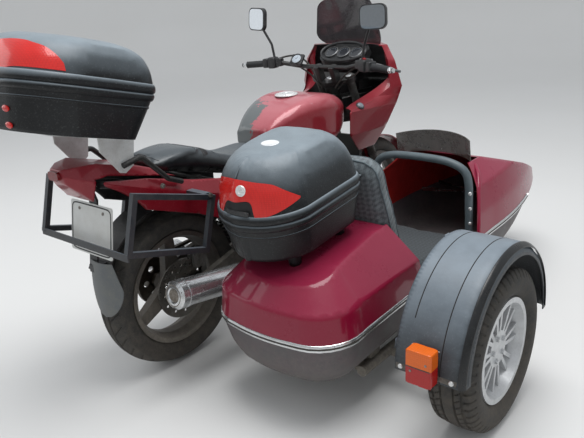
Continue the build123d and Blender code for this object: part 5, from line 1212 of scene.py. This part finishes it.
# ---------------------------------------------------------------------------
# Sidecar wheel, mudguard and lamp: a silver car wheel, a black trailer guard with pressed grooves,
# and a moulded lamp with an amber and a red half on its rear end.
# ---------------------------------------------------------------------------
silver_lacquer = weathered("silver_wheel_lacquer", "#c9cbcd", "#9c9c9a", 30, 0.4, (0.28, 0.45), 2, 0.08,
                           metallic=0.35, speck=0.3, dust="#6f675d", mud=0.2)
dress(silver_lacquer, "sidecar_wheel")
wheel_nuts = bmesh.new()
for t in range(5):
    lean = 2 * pi * t / 5 + 0.6
    turn(wheel_nuts, (1243, 318 + 42 * cos(lean), 279 + 42 * sin(lean)), (1, 0, 0), ((-2, 11), (1.5, 11)), 20)
    turn(wheel_nuts, (1243, 318 + 42 * cos(lean), 279 + 42 * sin(lean)), (1, 0, 0), ((1, 9), (9, 9), (11, 6)), 6)
fix("wheel_nuts", wheel_nuts, silver_lacquer, "sidecar_wheel_set")
# The guard's moulding is painted pale blue-grey on what faces up, a painted sky reflection.
guard_moulding = weathered("guard_moulding", "#25292d", "#3c4247", 70, 0.6, (0.36, 0.55), 2.4, 0.7, speck=0.3,
                           dust="#8a9096", mud=0.2, painted_sheen="#84909a", painted_sheen_share=0.8)
guard_shell = soften("mudguard_moulding", "sidecar_mudguard", guard_moulding, span=16,
                     passes=10, keep=60)
guard_skin = skin_of(guard_shell)


ARCH_STEPS = 90


def arch(x, reach, first, last):
    """Points along the mudguard's arch at a distance from its middle."""
    return [at(x, 322 - reach * cos(radians(first + (last - first) * k / ARCH_STEPS)),
               307 + reach * sin(radians(first + (last - first) * k / ARCH_STEPS))) for k in range(ARCH_STEPS + 1)]


# The pressed grooves are not cut in: thin dark beads stand for them, as painted shade in the grooves.
guard_grooves = bmesh.new()
bead(guard_grooves, guard_skin, arch(1202, 333, -4, 184), 1.7, 0.9, 4)
bead(guard_grooves, guard_skin, arch(1096, 333, 30, 150), 1.7, 0.9, 4)
fix("guard_grooves", guard_grooves, soot_and_groove_shade)
guard_lip = bmesh.new()
lip_line = []
for spot in arch(1271, 326, 0, 179.5):
    away = spot - at(mm(spot)[0], 322, 307)
    lip_line.append((spot, (away.normalized() * 0.79 + Vector((0.61, 0, 0))).normalized()))
bead(guard_lip, [], lip_line, 12.5, 3.5, 8)
fix("guard_lip", guard_lip, weathered("glossy_black_moulding", "#0d0f11", "#1a1d20", 60, 0.5, (0.25, 0.4), 3, 0.3,
    speck=0.12))
guard_strip = bmesh.new()
bead(guard_strip, guard_skin, [at(1056 + 200 * k / 30, -11, 322) for k in range(31)], 9, 1.8, 4)
fix("guard_end_strip", guard_strip, brushed_enamel)
lamp_edge = bmesh.new()
bead(lamp_edge, guard_skin, [at(1103 + 92 * k / 12, 3, 403) for k in range(13)], 1.8, 1.4, 4)
fix("lamp_seat_edge", lamp_edge, bright_dome)
guard_bolts = bmesh.new()
for x in (1072, 1240):
    turn(guard_bolts, (x, -13, 322), (0, -1, 0), ((-3, 8), (0.5, 8), (2.6, 6.4), (3.6, 3)), 20)
fix("guard_bolts", guard_bolts, bright_dome)

# The lamp is amber over red acrylic with a moulded bar between them, held by two small screws.
lamp_acrylic = prism_lens("amber_over_red_acrylic", "#ea6c06", "#a84003", 150, 0.3)
lamp_amber = lamp_acrylic.node_tree.nodes["Principled BSDF"].inputs["Base Color"].links[0].from_socket
lamp_height = put(lamp_acrylic, "SeparateXYZ", {"Vector": put(lamp_acrylic, "TexCoord").outputs["Object"]}).outputs["Z"]
lamp_upper = put(lamp_acrylic, "Math", {0: lamp_height, 1: 0.367}, operation="GREATER_THAN").outputs[0]
lamp_cloud = put(lamp_acrylic, "TexNoise", {"Scale": 60, "Detail": 4})
lamp_red = put(lamp_acrylic, "Mix", {0: lamp_cloud.outputs["Fac"], 6: srgb("#c60f0c"), 7: srgb("#6a0504")},
               data_type="RGBA").outputs[2]
lamp_tone = put(lamp_acrylic, "Mix", {0: lamp_upper, 6: lamp_red, 7: lamp_amber}, data_type="RGBA")
feed(lamp_acrylic, Base_Color=lamp_tone.outputs[2])
tail_lamp = soften("tail_lamp_lens", "sidecar_tail_lamp", lamp_acrylic, span=7, passes=3, keep=180)
lamp_skin = skin_of(tail_lamp)
lamp_bars = bmesh.new()
bead(lamp_bars, lamp_skin, [at(1118 + 78 * k / 12, -60, 366) for k in range(13)], 1.6, 1.6, 4)
fix("tail_lamp_bar", lamp_bars, black_moulding)
lamp_screws = bmesh.new()
for x, z in ((1132, 352), (1182, 384)):
    spot, out = nearest(lamp_skin, at(x, -60, z))
    turn(lamp_screws, (x, mm(spot)[1], z), out, ((-1, 4), (1, 4), (2, 2.6)), 16)
fix("tail_lamp_screws", lamp_screws, zinc)
